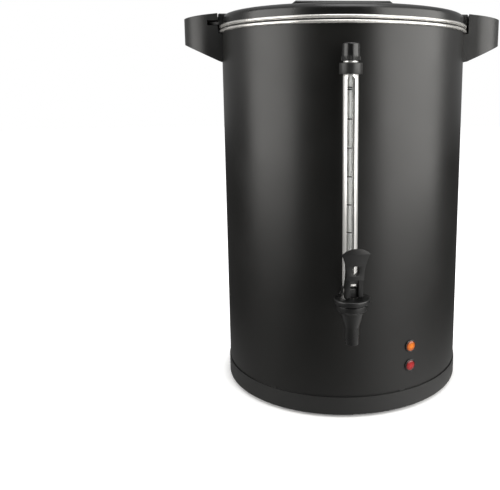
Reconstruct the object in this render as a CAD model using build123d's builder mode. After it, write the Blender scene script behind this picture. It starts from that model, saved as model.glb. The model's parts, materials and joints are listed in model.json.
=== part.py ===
"""A large coffee urn: double-walled body, lidded tank, percolator pump, level gauge and tap.

Millimetres. The origin is on the urn's axis where the foot meets the table, +Z is up and
the tap faces -Y. Angles around the body are counted from the tap towards +X.
"""

import os
from math import cos, radians, sin

from build123d import *

os.makedirs("parts", exist_ok=True)

# ---------------------------------------------------------------- driving dimensions
# Outer body
shell_radius = 150.0  # outside of the painted wall
shell_wall = 0.8
shell_height = 410.5
seam_gap = 2.0  # shadow gap between the painted wall and the base ring
foot_height = 3.0
foot_inset = 12.0  # foot ring inside the painted wall
foot_width = 20.0
foot_seat = 2.3  # how deep the foot sits in its groove
ring_height = 22.0
ring_proud = 1.0  # how far the base ring stands out past the painted wall
ring_wall = 4.0
ring_floor = 5.0
upstand_height = 12.0
upstand_wall = 2.0
bridge_count = 6
bridge_angle = 25.0
bridge_width = 7.0
plate_margin = 4.0  # between the bottom plate and the foot ring
plate_lap = 6.0  # how far the plate covers the edge of the ring's opening
plate_thickness = 1.0
plate_recess = 2.0
plate_screw_count = 4
plate_boss = 5.0
vent_count = 18
vent_length = 22.0
vent_width = 4.0
vent_share = 0.75  # of the opening's radius

# Tank and rim
wall_gap = 3.4  # air between the tank and the painted wall
tank_wall = 0.8
tank_corner = 3.0
tank_depth = 312.4  # from the top of the rim to the tank floor
well_radius = 17.0
well_depth = 7.0
rim_overhang = 3.0  # rim beads past the painted wall
rim_bead = 3.9

# Lid
lid_gap = 0.6
lid_bead = 4.3
lid_rise = 12.3  # from the lid bead to the shoulder
lid_crown = 6.0  # from the shoulder to the edge of the dish
lid_wall = 1.8
lid_shoulder = 7.0
lid_side = 0.3  # painted lid past the painted wall
dish_radius = 60.0
dish_depth = 15.6
pan_wall = 0.8
pan_gap = 1.7  # between the lid pan's skirt and the tank
pan_skirt = 16.0
channel_inset = 4.0  # from the skirt to the seal's channel
seal_width = 3.6
seal_height = 1.9
bar_length = 116.0
bar_width = 26.0
bar_height = 13.9  # top of the bar above the edge of the dish
bar_thickness = 10.0
bar_chamfer = 4.5
bar_shoulder = 6.0
bar_splay = 14.0
bar_screw_inset = 8.0
bar_screw_length = 5.0
lug_inset = 11.0  # lug inside the painted wall
lug_proud = 4.0  # lug past the painted wall
lug_width = 68.0
tongue_reach = 11.0
tongue_thickness = 3.4
tongue_root = 1.5  # how far the tongue starts inside the lug
tongue_rise = 0.8  # tongue above the lid bead
lug_height = 13.7  # top of the lug above the lid bead
lug_screw_inset = 2.5

# Side handles
handle_reach = 46.0
handle_half_width = 38.0
handle_corner = 35.0
handle_drop = 5.0  # fall of the top towards the outer end
handle_face = 35.0  # height of the handle under its highest level, at the outer end
handle_depth = 56.0  # the same against the body
handle_wall = 3.0
handle_relief = 1.4  # room between the handle and the turning lug
slot_room = 1.1
slot_reach = 2.5
handle_edge = 3.0
handle_screw_low = 12.0
handle_screw_high = 9.0  # under the tank's rim
handle_screw_turn = 8.0  # degrees

# Level gauge
gauge_standoff = 13.0  # gauge axis past the painted wall
shield_outer = 8.0
shield_wall = 0.8
shield_length = 224.6
shield_slot = 7.2
glass_outer = 5.0
glass_wall = 1.2
holder_radius = 12.1
holder_height = 11.3
holder_web = 16.0
neck_outer = 7.0
neck_show = 2.0
knurl_radius = 9.8
knurl_height = 4.6
cap_radius = 8.55
cap_height = 13.2
cap_round = 1.8

# Tap
tap_clearance = 3.25  # between the tee's end and the tap's band
shank_rise = 15.0  # shank axis above the tank floor
shank_outer = 7.0
shank_bore = 4.5
shank_inside = 17.0  # shank length inside the tank
tee_radius = 10.5
tee_length = 29.0
tee_overlap = 8.0  # shank length inside the tap body
washer_inside = 6.0
nut_height = 6.5
nut_radius = 12.5
socket_radius = 9.5
socket_height = 17.0  # top of the gauge socket above the shank axis
washer_outer = 11.5
washer_thickness = 3.0
band_radius = 16.75
band_height = 7.0
cone_top = 12.3
cone_bottom = 7.5
cone_height = 19.0
spout_radius = 7.1
spout_bore = 5.2
spout_drop = 33.0  # spout end below the shank axis
seat_drop = 5.0
valve_chamber = 8.6
band_rise = 12.0
bonnet_radius = 18.75
bonnet_flange = 5.0
spigot_radius = 13.5
spigot_depth = 5.0
stem_radius = 2.6
cup_radius = 7.8
stem_travel = 4.0
pin_rise = 8.0  # lever pin above the bonnet
pin_radius = 2.0
cheek_width = 18.0
lever_slit = 8.6
lever_turn = 12.0  # degrees round the tap, towards +X
lever_height = 46.2  # top of the lever above its pin
lever_cam = 7.6
waist_rise = 23.0
fan_rise = 40.3
paddle_waist = 9.5  # half width above the cheeks
paddle_fan = 14.7  # half width near the top
cam_offset = 3.8
bar_gap = 8.0  # pin to the bridge between the cheeks
cheek_rise = 12.0  # top of the cheeks above the pin
mouth_depth = 7.0  # front of the bridge, ahead of the pin
paddle_back = 6.5  # back of the paddle at its waist, ahead of the pin
paddle_thick = 6.0
paddle_lean = 11.0  # the same at the top
paddle_edge = 4.0
sight_width = 6.5  # slot in the paddle
sight_height = 10.0
spring_radius = 5.0
spring_wire = 0.9
spring_turns = 5

# Percolator
pump_outer = 4.0
pump_wall = 0.8
pump_top_gap = 5.5  # under the rim's top
collar_width = 5.0
collar_height = 3.0
sleeve_fit = 0.5
pump_foot_radius = 12.5
pump_foot_height = 12.0
pump_foot_wall = 1.0
pump_foot_hole = 1.8
valve_thickness = 0.8
valve_travel = 2.0
basket_gap = 27.5  # between the basket's rim and the tank
basket_depth = 72.0
basket_wall = 0.8
basket_drop = 13.4  # basket rim under the tank's rim
basket_grooves = 3
groove_depth = 1.5
groove_height = 8.0
groove_pitch = 17.0
groove_start = 14.0  # lowest groove above the basket's floor
basket_holes = 4  # rings of holes
basket_hole = 1.6

# Electrical base
heater_outer = 45.0
heater_height = 12.0
heater_gap = 2.0  # around the well
heater_pin_radius = 3.0
heater_pin_length = 14.0
warm_inner = 62.0
warm_outer = 98.0
warm_height = 3.0
tab_inset = 6.0
tab_width = 6.3
tab_thickness = 0.8
tab_length = 9.0
stud_radius = 4.0
stud_length = 22.0
strap_length = 84.0
strap_width = 18.0
strap_thickness = 2.5
thermostat_ring = 53.5
thermostat_radius = 7.5
thermostat_cap = 4.0
thermostat_body = 6.0
thermostat_blade = 8.0
terminal_back = 45.0  # terminal block behind the urn's axis
terminal_width = 54.0
terminal_depth = 22.0
terminal_height = 18.0
terminal_pitch = 12.0
terminal_hole = 2.6
terminal_hole_depth = 9.0
lead_radius = 1.3
lead_entry = 8.0  # lead end under the top of the terminal block
heater_lead_rise = 32.0
heater_lead_drop = 24.0
warm_lead_rise = 22.0
warm_lead_drop = 41.0
mains_lead_rise = 16.0
mains_lead_back = 90.0
heater_lead_bend = 14.0
warm_lead_bend = 16.0
mains_lead_bend = 10.0

# Lights, inlet and switch
light_angle = 28.8
light_height = 78.3
light_pitch = 23.6
light_flange = 7.3
light_body = 5.6
lens_radius = 5.9
inlet_height = 62.0
inlet_width = 52.0
inlet_tall = 30.0
inlet_body_width = 27.4
inlet_body_tall = 20.0
inlet_body_depth = 24.0
inlet_proud = 3.0
inlet_screw_x = 20.5
inlet_screw_length = 10.0
socket_width = 24.4
socket_tall = 16.4
socket_depth = 17.0
socket_key = 4.0
blade_width = 2.0
blade_height = 4.0
blade_spread = 7.0
blade_row = 2.5
blade_back = 30.0
switch_angle = 162.0
switch_width = 21.0
switch_tall = 30.0
switch_frame = 2.0  # frame width around the switch body
switch_body_depth = 20.0
switch_tab = 8.0
switch_tab_row = 7.0
window_border = 1.7
window_depth = 14.0
pivot_depth = 2.5
pip_radius = 1.2
rocker_crest = 3.4
rocker_half = 12.0
rocker_back = 6.0
rocker_tilt = 10.0

# Fits
gap = 0.3  # between pieces that move past each other
slip = 0.2  # between fixed pieces
pin_fit = 0.05
hole_room = 0.3

# Fasteners
head_radius = 3.5
small_head_radius = 3.1
head_height = 2.2
small_head_height = 1.8
sunk_head = 1.6
screw_radius = 1.6
bottom_screw_length = 9.0
gauge_screw_length = 5.0

# ---------------------------------------------------------------- derived levels and radii
ring_top = foot_height + ring_height
shell_bottom = ring_top + seam_gap
rim_bottom = shell_bottom + shell_height
rim_top = rim_bottom + rim_bead
lid_bottom = rim_top + lid_gap
lid_bead_top = lid_bottom + lid_bead
lid_shoulder_top = lid_bead_top + lid_rise
dish_edge = lid_shoulder_top + lid_crown
dish_floor = dish_edge - dish_depth
tank_floor = rim_top - tank_depth
tank_under = tank_floor - tank_wall
shell_inner = shell_radius - shell_wall
tank_outer = shell_inner - wall_gap
tank_radius = tank_outer - tank_wall
foot_outer = shell_radius - foot_inset
foot_inner = foot_outer - foot_width
plate_radius = foot_inner - plate_margin
ring_opening = plate_radius - plate_lap
plate_screw_ring = (plate_radius + ring_opening) / 2
cut_radius = tank_outer - 5.8  # cutters through the painted wall start here
cut_length = 20.0
rim_radius = shell_radius + rim_overhang
lid_radius = shell_radius + lid_side
well_floor = tank_floor - well_depth

pan_skirt_radius = tank_radius - pan_gap
lug_inner = shell_radius - lug_inset
lug_outer = shell_radius + lug_proud
tongue_bottom = lid_bead_top + tongue_rise
tongue_top = tongue_bottom + tongue_thickness
tongue_tip = lug_outer + tongue_reach
lug_top = lid_bead_top + lug_height
lug_screw_x = lug_inner + lug_screw_inset
lug_screw_y = lug_width / 6
handle_top = lug_top
handle_foot = handle_top - handle_depth
handle_end = shell_radius + handle_reach
relief_radius = lug_outer + handle_relief
slot_radius = tongue_tip + slot_reach

gauge_radius = shell_radius + gauge_standoff
tee_start = shell_radius + washer_thickness
tee_end = tee_start + tee_length
tap_radius = tee_end + band_radius + tap_clearance
shank_height = tank_floor + shank_rise
shield_bottom = shank_height + socket_height
shield_top = shield_bottom + shield_length
holder_top = shield_top + holder_height
cap_bottom = holder_top + neck_show
band_top = shank_height + band_rise
bonnet_top = band_top + bonnet_flange
pin_height = bonnet_top + pin_rise
seat_height = shank_height - seat_drop
spout_end = shank_height - spout_drop

basket_radius = tank_radius - basket_gap
basket_rim = rim_top - basket_drop
basket_floor = basket_rim - basket_depth


# ---------------------------------------------------------------- helpers
def wall_plane(angle, height, radius=shell_radius):
    """A plane that touches a round wall and faces outwards, with its y axis up."""
    turn = radians(angle)
    return Plane(
        origin=(radius * sin(turn), -radius * cos(turn), height),
        x_dir=(cos(turn), sin(turn), 0),
        z_dir=(sin(turn), -cos(turn), 0),
    )


def cylinder(plane, radius, length, mode=Mode.ADD):
    """A round bar from the plane along its normal."""
    with BuildSketch(plane) as section:
        Circle(radius)
    extrude(section.sketch, amount=length, mode=mode)


def ring(plane, outer, inner, length, mode=Mode.ADD):
    """A tube from the plane along its normal."""
    with BuildSketch(plane) as section:
        Circle(outer)
        Circle(inner, mode=Mode.SUBTRACT)
    extrude(section.sketch, amount=length, mode=mode)


def block(plane, width, height, depth, mode=Mode.ADD):
    """A rectangular bar from the plane along its normal."""
    with BuildSketch(plane) as section:
        Rectangle(width, height)
    extrude(section.sketch, amount=depth, mode=mode)


def turned(points, mode=Mode.ADD):
    """A turned solid from a closed outline of (radius, height) points."""
    with BuildSketch(Plane.XZ) as section:
        with BuildLine():
            Polyline(points, close=True)
        make_face()
    revolve(section.sketch, axis=Axis.Z, mode=mode)


def pressed_sheet(points, radii, wall):
    """A turned sheet whose inner face, or top, follows (radius, height) points."""
    with BuildSketch(Plane.XZ) as section:
        with BuildLine():
            FilletPolyline(*points, radius=radii)
            offset(amount=wall, side=Side.RIGHT)
        make_face()
    revolve(section.sketch, axis=Axis.Z)


def rolled_rim(low, height, outer, inner):
    """A turned bead with a full round outside."""
    with BuildSketch(Plane.XZ) as section:
        with Locations(((inner + outer) / 2, low + height / 2)):
            bead = Rectangle(outer - inner, height)
        fillet(bead.vertices().sort_by(Axis.X)[-2:], 0.45 * height)
    revolve(section.sketch, axis=Axis.Z)


def lid_solid(mode=Mode.ADD):
    """The space inside the painted lid's outer face, down to the lid bead."""
    with BuildSketch(Plane.XZ) as section:
        with BuildLine():
            FilletPolyline(
                (0, lid_bead_top),
                (0, dish_floor),
                (dish_radius - 6, dish_floor),
                (dish_radius, dish_edge),
                (lid_radius, lid_shoulder_top),
                (lid_radius, lid_bead_top),
                radius=[0, 4, 3, lid_shoulder],
            )
            Line((lid_radius, lid_bead_top), (0, lid_bead_top))
        make_face()
    revolve(section.sketch, axis=Axis.Z, mode=mode)


# ---------------------------------------------------------------- base
ring_radius = shell_radius + ring_proud
ring_inner = ring_radius - ring_wall
upstand_outer = shell_inner - slip
upstand_inner = upstand_outer - upstand_wall

with BuildPart() as foot_ring:
    ring(Plane.XY, foot_outer, foot_inner, foot_height + foot_seat)
    chamfer(foot_ring.edges().group_by(Axis.Z)[0], 0.8)
foot_ring.part.label = "foot_ring"
export_step(foot_ring.part, "parts/foot_ring.step")

with BuildPart() as base_ring:
    turned(
        [
            (ring_opening, foot_height),
            (ring_radius, foot_height),
            (ring_radius, ring_top),
            (upstand_outer, ring_top),
            (upstand_outer, ring_top + upstand_height),
            (upstand_inner, ring_top + upstand_height),
            (ring_inner - 1.0, ring_top),
            (ring_inner - 1.0, foot_height + ring_floor),
            (ring_opening, foot_height + ring_floor),
        ]
    )
    bottom_edges = base_ring.edges().filter_by(GeomType.CIRCLE).group_by(Axis.Z)[0]
    fillet(bottom_edges.sort_by(SortBy.RADIUS)[-1], 2.0)
    # Groove for the foot and recess for the bottom plate.
    ring(
        Plane.XY.offset(foot_height),
        foot_outer + slip,
        foot_inner - slip,
        foot_seat,
        mode=Mode.SUBTRACT,
    )
    cylinder(Plane.XY.offset(foot_height), plate_radius + slip, plate_recess, mode=Mode.SUBTRACT)
    # The painted wall stands on small bridges across the seam.
    for step in range(bridge_count):
        turn = bridge_angle + step * 360 / bridge_count
        bridge = wall_plane(turn, ring_top + seam_gap / 2, upstand_outer - 1)
        block(bridge, bridge_width, seam_gap, shell_radius - upstand_outer + 1)
    # Screw bosses on the floor of the ring, drilled from below.
    with BuildSketch(Plane.XY.offset(foot_height + ring_floor)):
        with PolarLocations(plate_screw_ring, plate_screw_count, start_angle=45):
            Circle(3 * screw_radius)
    extrude(amount=plate_boss)
    with BuildSketch(Plane.XY.offset(foot_height)):
        with PolarLocations(plate_screw_ring, plate_screw_count, start_angle=45):
            Circle(screw_radius)
    extrude(amount=ring_floor + plate_boss, mode=Mode.SUBTRACT)
base_ring.part.label = "base_ring"
export_step(base_ring.part, "parts/base_ring.step")

plate_top = foot_height + plate_recess
plate_bottom = plate_top - plate_thickness

with BuildPart() as bottom_plate:
    cylinder(Plane.XY.offset(plate_bottom), plate_radius, plate_thickness)
    with BuildSketch(Plane.XY.offset(plate_bottom)):
        with PolarLocations(plate_screw_ring, plate_screw_count, start_angle=45):
            Circle(screw_radius + hole_room)
        with PolarLocations(vent_share * ring_opening, vent_count):
            SlotOverall(vent_length, vent_width)
    extrude(amount=plate_thickness, mode=Mode.SUBTRACT)
bottom_plate.part.label = "bottom_plate"
export_step(bottom_plate.part, "parts/bottom_plate.step")

with BuildPart() as bottom_screws:
    with BuildSketch(Plane.XY.offset(plate_bottom)):
        with PolarLocations(plate_screw_ring, plate_screw_count, start_angle=45):
            Circle(small_head_radius)
    extrude(amount=-small_head_height)
    with BuildSketch(Plane.XY.offset(plate_bottom)):
        with PolarLocations(plate_screw_ring, plate_screw_count, start_angle=45):
            Circle(screw_radius)
    extrude(amount=bottom_screw_length)
bottom_screws.part.label = "bottom_screws"
export_step(bottom_screws.part, "parts/bottom_screws.step")

# ---------------------------------------------------------------- walls
handle_screw_heights = (handle_foot + handle_screw_low, rim_bottom - handle_screw_high)
holder_middle = shield_top + holder_height / 2
light_heights = (light_height, light_height - light_pitch)
switch_height = inlet_height
switch_body_width = switch_width - 2 * switch_frame
switch_body_tall = switch_tall - 2 * switch_frame
shank_line = Plane((0, 0, shank_height), z_dir=(0, -1, 0))

with BuildPart() as outer_shell:
    ring(Plane.XY.offset(shell_bottom), shell_radius, shell_inner, shell_height)
    cylinder(shank_line, shank_outer + hole_room, shell_radius + cut_length, mode=Mode.SUBTRACT)
    screw_hole = wall_plane(0, holder_middle, cut_radius)
    cylinder(screw_hole, screw_radius + hole_room, cut_length, mode=Mode.SUBTRACT)
    for level in light_heights:
        light_hole = wall_plane(light_angle, level, cut_radius)
        cylinder(light_hole, light_body + slip, cut_length, mode=Mode.SUBTRACT)
    for side in (90, 270):
        for turn in (-handle_screw_turn, handle_screw_turn):
            for level in handle_screw_heights:
                screw_hole = wall_plane(side + turn, level, cut_radius)
                cylinder(screw_hole, screw_radius + hole_room, cut_length, mode=Mode.SUBTRACT)
    inlet_hole = wall_plane(180, inlet_height, cut_radius)
    block(
        inlet_hole,
        inlet_body_width + 2 * slip,
        inlet_body_tall + 2 * slip,
        cut_length,
        mode=Mode.SUBTRACT,
    )
    for x in (-inlet_screw_x, inlet_screw_x):
        screw_hole = inlet_hole * Location((x, 0, 0))
        cylinder(screw_hole, screw_radius + hole_room, cut_length, mode=Mode.SUBTRACT)
    block(
        wall_plane(switch_angle, switch_height, cut_radius),
        switch_body_width + 2 * slip,
        switch_body_tall + 2 * slip,
        cut_length,
        mode=Mode.SUBTRACT,
    )
outer_shell.part.label = "outer_shell"
export_step(outer_shell.part, "parts/outer_shell.step")

with BuildPart() as inner_tank:
    pressed_sheet(
        [
            (0, well_floor),
            (well_radius, well_floor),
            (well_radius, tank_floor),
            (tank_radius, tank_floor),
            (tank_radius, rim_top),
        ],
        [2, 2, tank_corner],
        tank_wall,
    )
    # Rolled rim that hangs the tank on the painted wall.
    rolled_rim(rim_bottom, rim_bead, rim_radius, tank_radius)
    cylinder(shank_line, shank_outer + hole_room, shell_radius + cut_length, mode=Mode.SUBTRACT)
inner_tank.part.label = "inner_tank"
export_step(inner_tank.part, "parts/inner_tank.step")

# ---------------------------------------------------------------- lid
channel_inner = pan_skirt_radius + channel_inset
channel_outer = channel_inner + seal_width + 2 * gap
pan_top = lid_bead_top - 0.5

with BuildPart() as lid_pan:
    pressed_sheet(
        [(0, pan_top), (pan_skirt_radius, pan_top), (pan_skirt_radius, rim_top - pan_skirt)],
        [2],
        pan_wall,
    )
    rolled_rim(lid_bottom, lid_bead, rim_radius, pan_skirt_radius - pan_wall)
    ring(
        Plane.XY.offset(lid_bottom),
        channel_outer,
        channel_inner,
        seal_height - (lid_gap - gap) + gap,
        mode=Mode.SUBTRACT,
    )
lid_pan.part.label = "lid_pan"
export_step(lid_pan.part, "parts/lid_pan.step")

with BuildPart() as lid_seal:
    ring(
        Plane.XY.offset(rim_top + gap),
        channel_outer - gap,
        channel_inner + gap,
        seal_height,
    )
lid_seal.part.label = "lid_seal"
export_step(lid_seal.part, "parts/lid_seal.step")

bar_screw_x = bar_length / 2 + bar_screw_inset
lid_cut = lug_height + dish_depth  # longer than the lid is thick

with BuildPart() as lid_cover:
    pressed_sheet(
        [
            (0, dish_floor),
            (dish_radius - 6, dish_floor),
            (dish_radius, dish_edge),
            (lid_radius, lid_shoulder_top),
            (lid_radius, lid_bead_top),
        ],
        [4, 3, lid_shoulder],
        lid_wall,
    )
    for x in (-bar_screw_x, bar_screw_x):
        cylinder(
            Plane.XY.offset(dish_floor) * Location((x, 0, 0)),
            screw_radius + hole_room,
            lid_cut,
            mode=Mode.SUBTRACT,
        )
    for x in (-1, 1):
        for y in (-1, 1):
            cylinder(
                Plane.XY.offset(lid_bead_top + 2) * Location((x * lug_screw_x, y * lug_screw_y, 0)),
                screw_radius + hole_room,
                lid_cut,
                mode=Mode.SUBTRACT,
            )
lid_cover.part.label = "lid_cover"
export_step(lid_cover.part, "parts/lid_cover.step")

bar_top = dish_edge + bar_height
bar_under = bar_top - bar_thickness
bar_half = bar_length / 2

with BuildPart() as lid_handle:
    with BuildSketch(Plane.XZ):
        with BuildLine():
            FilletPolyline(
                (-bar_half, bar_top),
                (bar_half, bar_top),
                (bar_half + bar_shoulder, bar_top - bar_chamfer),
                (bar_half + bar_splay, dish_edge - 3),
                (bar_half + 3, dish_edge - 3),
                (bar_half - 3, bar_under),
                (-bar_half + 3, bar_under),
                (-bar_half - 3, dish_edge - 3),
                (-bar_half - bar_splay, dish_edge - 3),
                (-bar_half - bar_shoulder, bar_top - bar_chamfer),
                radius=1.5,
                close=True,
            )
        make_face()
    extrude(amount=bar_width / 2, both=True)
    fillet(lid_handle.faces().sort_by(Axis.Z)[-1].edges().filter_by(Axis.X), 2.5)
    lid_solid(mode=Mode.SUBTRACT)
    for x in (-bar_screw_x, bar_screw_x):
        cylinder(
            Plane.XY.offset(dish_floor) * Location((x, 0, 0)),
            screw_radius,
            dish_depth + bar_screw_length,
            mode=Mode.SUBTRACT,
        )
lid_handle.part.label = "lid_handle"
export_step(lid_handle.part, "parts/lid_handle.step")

cover_slope = lid_crown / (lid_radius - dish_radius)


def cover_under(radius):
    """Height of the painted lid's underside at a radius on its dome."""
    return lid_shoulder_top + (lid_radius - radius) * cover_slope - lid_wall - 0.05


with BuildPart() as lid_handle_screws:
    for x in (-bar_screw_x, bar_screw_x):
        seat = cover_under(bar_screw_x + head_radius)
        cylinder(Plane.XY.offset(seat - head_height) * Location((x, 0, 0)), head_radius, head_height)
        shank = Plane.XY.offset(seat) * Location((x, 0, 0))
        cylinder(shank, screw_radius, dish_edge + bar_screw_length - seat)
lid_handle_screws.part.label = "lid_handle_screws"
export_step(lid_handle_screws.part, "parts/lid_handle_screws.step")

with BuildPart() as lid_lug_right:
    with BuildSketch(Plane.XY.offset(lid_bead_top + 0.5)):
        Rectangle(2 * lug_outer, lug_width)
        Circle(lug_outer, mode=Mode.INTERSECT)
        with Locations((-lug_outer + lug_inner, 0)):
            Rectangle(2 * lug_outer, lug_width, mode=Mode.SUBTRACT)
    extrude(amount=lug_top - lid_bead_top - 0.5)
    fillet(lid_lug_right.edges().group_by(Axis.Z)[-1], 1.2)
    lid_solid(mode=Mode.SUBTRACT)
    # Tongue that reaches into the side handle.
    with BuildSketch(Plane.XY.offset(tongue_bottom)):
        Rectangle(2 * tongue_tip, lug_width - 2)
        Circle(tongue_tip, mode=Mode.INTERSECT)
        Circle(lug_outer - tongue_root, mode=Mode.SUBTRACT)
        with Locations((-tongue_tip, 0)):
            Rectangle(2 * tongue_tip, lug_width, mode=Mode.SUBTRACT)
    extrude(amount=tongue_thickness)
    for y in (-1, 1):
        cylinder(
            Plane.XY.offset(lid_bead_top) * Location((lug_screw_x, y * lug_screw_y, 0)),
            screw_radius,
            lug_height - 2,
            mode=Mode.SUBTRACT,
        )
lid_lug_right.part.label = "lid_lug_right"
export_step(lid_lug_right.part, "parts/lid_lug_right.step")

with BuildPart() as lid_lug_left:
    add(lid_lug_right.part.rotate(Axis.Z, 180))
lid_lug_left.part.label = "lid_lug_left"
export_step(lid_lug_left.part, "parts/lid_lug_left.step")

with BuildPart() as lug_screws:
    seat = cover_under(lug_screw_x + head_radius) - 0.6
    for x in (-1, 1):
        for y in (-1, 1):
            place = Location((x * lug_screw_x, y * lug_screw_y, 0))
            cylinder(Plane.XY.offset(seat - head_height) * place, head_radius, head_height)
            cylinder(Plane.XY.offset(seat) * place, screw_radius, lid_bead_top + lug_height - 2 - seat)
lug_screws.part.label = "lug_screws"
export_step(lug_screws.part, "parts/lug_screws.step")

# ---------------------------------------------------------------- side handles
relief_bottom = rim_bottom - 1.0
slot_low = tongue_bottom - slot_room
slot_high = tongue_top + slot_room
cavity_roof = relief_bottom - handle_wall
cavity_inner = shell_radius + 4.5
upper_cavity = slot_radius + handle_wall


def handle_room(low, start, high):
    """Hollows the handle inside its wall, from a distance off the urn's axis outwards."""
    with BuildSketch(Plane.XY.offset(low)) as room:
        length = handle_end - handle_wall - lug_inner
        with Locations((lug_inner + length / 2, 0)):
            hollow = Rectangle(length, 2 * (handle_half_width - handle_wall))
        fillet(hollow.vertices().sort_by(Axis.X)[-2:], handle_corner - handle_wall)
        with Locations((start - handle_end, 0)):
            Rectangle(2 * handle_end, 2 * handle_end, mode=Mode.SUBTRACT)
    extrude(room.sketch, amount=high - low, mode=Mode.SUBTRACT)


with BuildPart() as right_handle:
    with BuildSketch(Plane.XY.offset(handle_foot)) as plan:
        width = 2 * handle_half_width
        with Locations(((handle_end + lug_inner) / 2, 0)):
            outline = Rectangle(handle_end - lug_inner, width)
        fillet(outline.vertices().sort_by(Axis.X)[-2:], handle_corner)
    extrude(amount=handle_depth)
    # Side view: the top falls a little, the underside slants up to the outer end.
    with BuildSketch(Plane.XZ) as side:
        with BuildLine():
            Polyline(
                (lug_inner, handle_top),
                (shell_radius, handle_top),
                (handle_end, handle_top - handle_drop),
                (handle_end, handle_top - handle_face),
                (shell_radius, handle_foot),
                (lug_inner, handle_foot),
                close=True,
            )
        make_face()
    extrude(amount=handle_half_width, both=True, mode=Mode.INTERSECT)
    fillet(right_handle.faces().sort_by(Axis.Z)[-1].edges().sort_by(Axis.X)[1:], handle_edge)
    # Finger room, open below.
    handle_room(handle_foot, cavity_inner, cavity_roof)
    handle_room(cavity_roof, upper_cavity, handle_top - handle_drop - handle_wall - 1)
    # Seat on the wall, room for the turning lug, and the slot for its tongue.
    cylinder(Plane.XY.offset(handle_foot), shell_radius, handle_depth, mode=Mode.SUBTRACT)
    cylinder(Plane.XY.offset(relief_bottom), relief_radius, handle_top - relief_bottom, mode=Mode.SUBTRACT)
    with BuildSketch(Plane.XY.offset(slot_low)) as slot:
        Circle(slot_radius)
        with Locations((lug_inner, handle_half_width - lug_width / 2 - 1)):
            Rectangle(2 * (slot_radius - lug_inner), 2 * handle_half_width, mode=Mode.INTERSECT)
    extrude(amount=slot_high - slot_low, mode=Mode.SUBTRACT)
    for turn in (-handle_screw_turn, handle_screw_turn):
        for level in handle_screw_heights:
            screw_hole = wall_plane(90 + turn, level, cut_radius)
            cylinder(screw_hole, screw_radius, cavity_inner - cut_radius, mode=Mode.SUBTRACT)
right_handle.part.label = "right_handle"
export_step(right_handle.part, "parts/right_handle.step")

with BuildPart() as left_handle:
    add(right_handle.part.rotate(Axis.Z, 180))
left_handle.part.label = "left_handle"
export_step(left_handle.part, "parts/left_handle.step")

with BuildPart() as handle_screws:
    for side in (90, 270):
        for turn in (-handle_screw_turn, handle_screw_turn):
            for level in handle_screw_heights:
                seat = wall_plane(side + turn, level, shell_inner - 0.05)
                cylinder(seat, head_radius, -head_height)
                cylinder(seat, screw_radius, cavity_inner - shell_inner)
handle_screws.part.label = "handle_screws"
export_step(handle_screws.part, "parts/handle_screws.step")

# ---------------------------------------------------------------- level gauge
glass_bottom = shield_bottom - 6.0
glass_top = holder_top + 11.0
neck_bottom = shield_top - 6.0


def gauge_plane(height):
    """A level plane centred on the gauge's axis."""
    return Plane((0, -gauge_radius, height))


with BuildPart() as gauge_shield:
    ring(gauge_plane(shield_bottom), shield_outer, shield_outer - shield_wall, shield_length)
    # Sight slot down the front, with a round top.
    with BuildSketch(Plane((0, -gauge_radius, 0), x_dir=(1, 0, 0), z_dir=(0, -1, 0))) as sight:
        low = shield_bottom + 8
        high = shield_top - 1.6
        with Locations((0, (low + high) / 2)):
            SlotOverall(high - low, shield_slot, rotation=90)
    extrude(amount=shield_outer + 1, mode=Mode.SUBTRACT)
gauge_shield.part.label = "gauge_shield"
export_step(gauge_shield.part, "parts/gauge_shield.step")

with BuildPart() as gauge_glass:
    ring(gauge_plane(glass_bottom), glass_outer, glass_outer - glass_wall, glass_top - glass_bottom)
gauge_glass.part.label = "gauge_glass"
export_step(gauge_glass.part, "parts/gauge_glass.step")

with BuildPart() as gauge_holder:
    with BuildSketch(gauge_plane(shield_top)) as holder:
        Circle(holder_radius)
        with Locations((0, (gauge_radius - shell_radius + 6) / 2)):
            Rectangle(holder_web, gauge_radius - shell_radius + 6)
    extrude(amount=holder_height)
    cylinder(Plane.XY.offset(shield_top), shell_radius, holder_height, mode=Mode.SUBTRACT)
    fillet(gauge_holder.edges().filter_by(Axis.Z).sort_by(Axis.Y)[:2], 1.5)
    fillet(gauge_holder.edges().group_by(Axis.Z)[-1].filter_by(GeomType.CIRCLE).sort_by(Axis.Y)[0], 1.0)
    cylinder(gauge_plane(shield_top), neck_outer, holder_height, mode=Mode.SUBTRACT)
    screw_hole = wall_plane(0, holder_middle, cut_radius)
    cylinder(screw_hole, screw_radius, shell_radius + gauge_screw_length - cut_radius, mode=Mode.SUBTRACT)
gauge_holder.part.label = "gauge_holder"
export_step(gauge_holder.part, "parts/gauge_holder.step")

with BuildPart() as gauge_screw:
    seat = wall_plane(0, holder_middle, shell_inner - 0.05)
    cylinder(seat, head_radius, -head_height)
    cylinder(seat, screw_radius, gauge_screw_length)
gauge_screw.part.label = "gauge_screw"
export_step(gauge_screw.part, "parts/gauge_screw.step")

with BuildPart() as gauge_neck:
    ring(gauge_plane(neck_bottom), neck_outer, glass_outer + slip, glass_top - neck_bottom)
gauge_neck.part.label = "gauge_neck"
export_step(gauge_neck.part, "parts/gauge_neck.step")

with BuildPart() as gauge_cap:
    cylinder(gauge_plane(cap_bottom), knurl_radius, knurl_height)
    chamfer(gauge_cap.edges().group_by(Axis.Z)[-1], 0.5)
    cylinder(gauge_plane(cap_bottom + knurl_height), cap_radius, cap_height)
    fillet(gauge_cap.edges().group_by(Axis.Z)[-1], cap_round)
    cylinder(gauge_plane(cap_bottom), neck_outer, glass_top - cap_bottom + 2, mode=Mode.SUBTRACT)
gauge_cap.part.label = "gauge_cap"
export_step(gauge_cap.part, "parts/gauge_cap.step")

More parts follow.
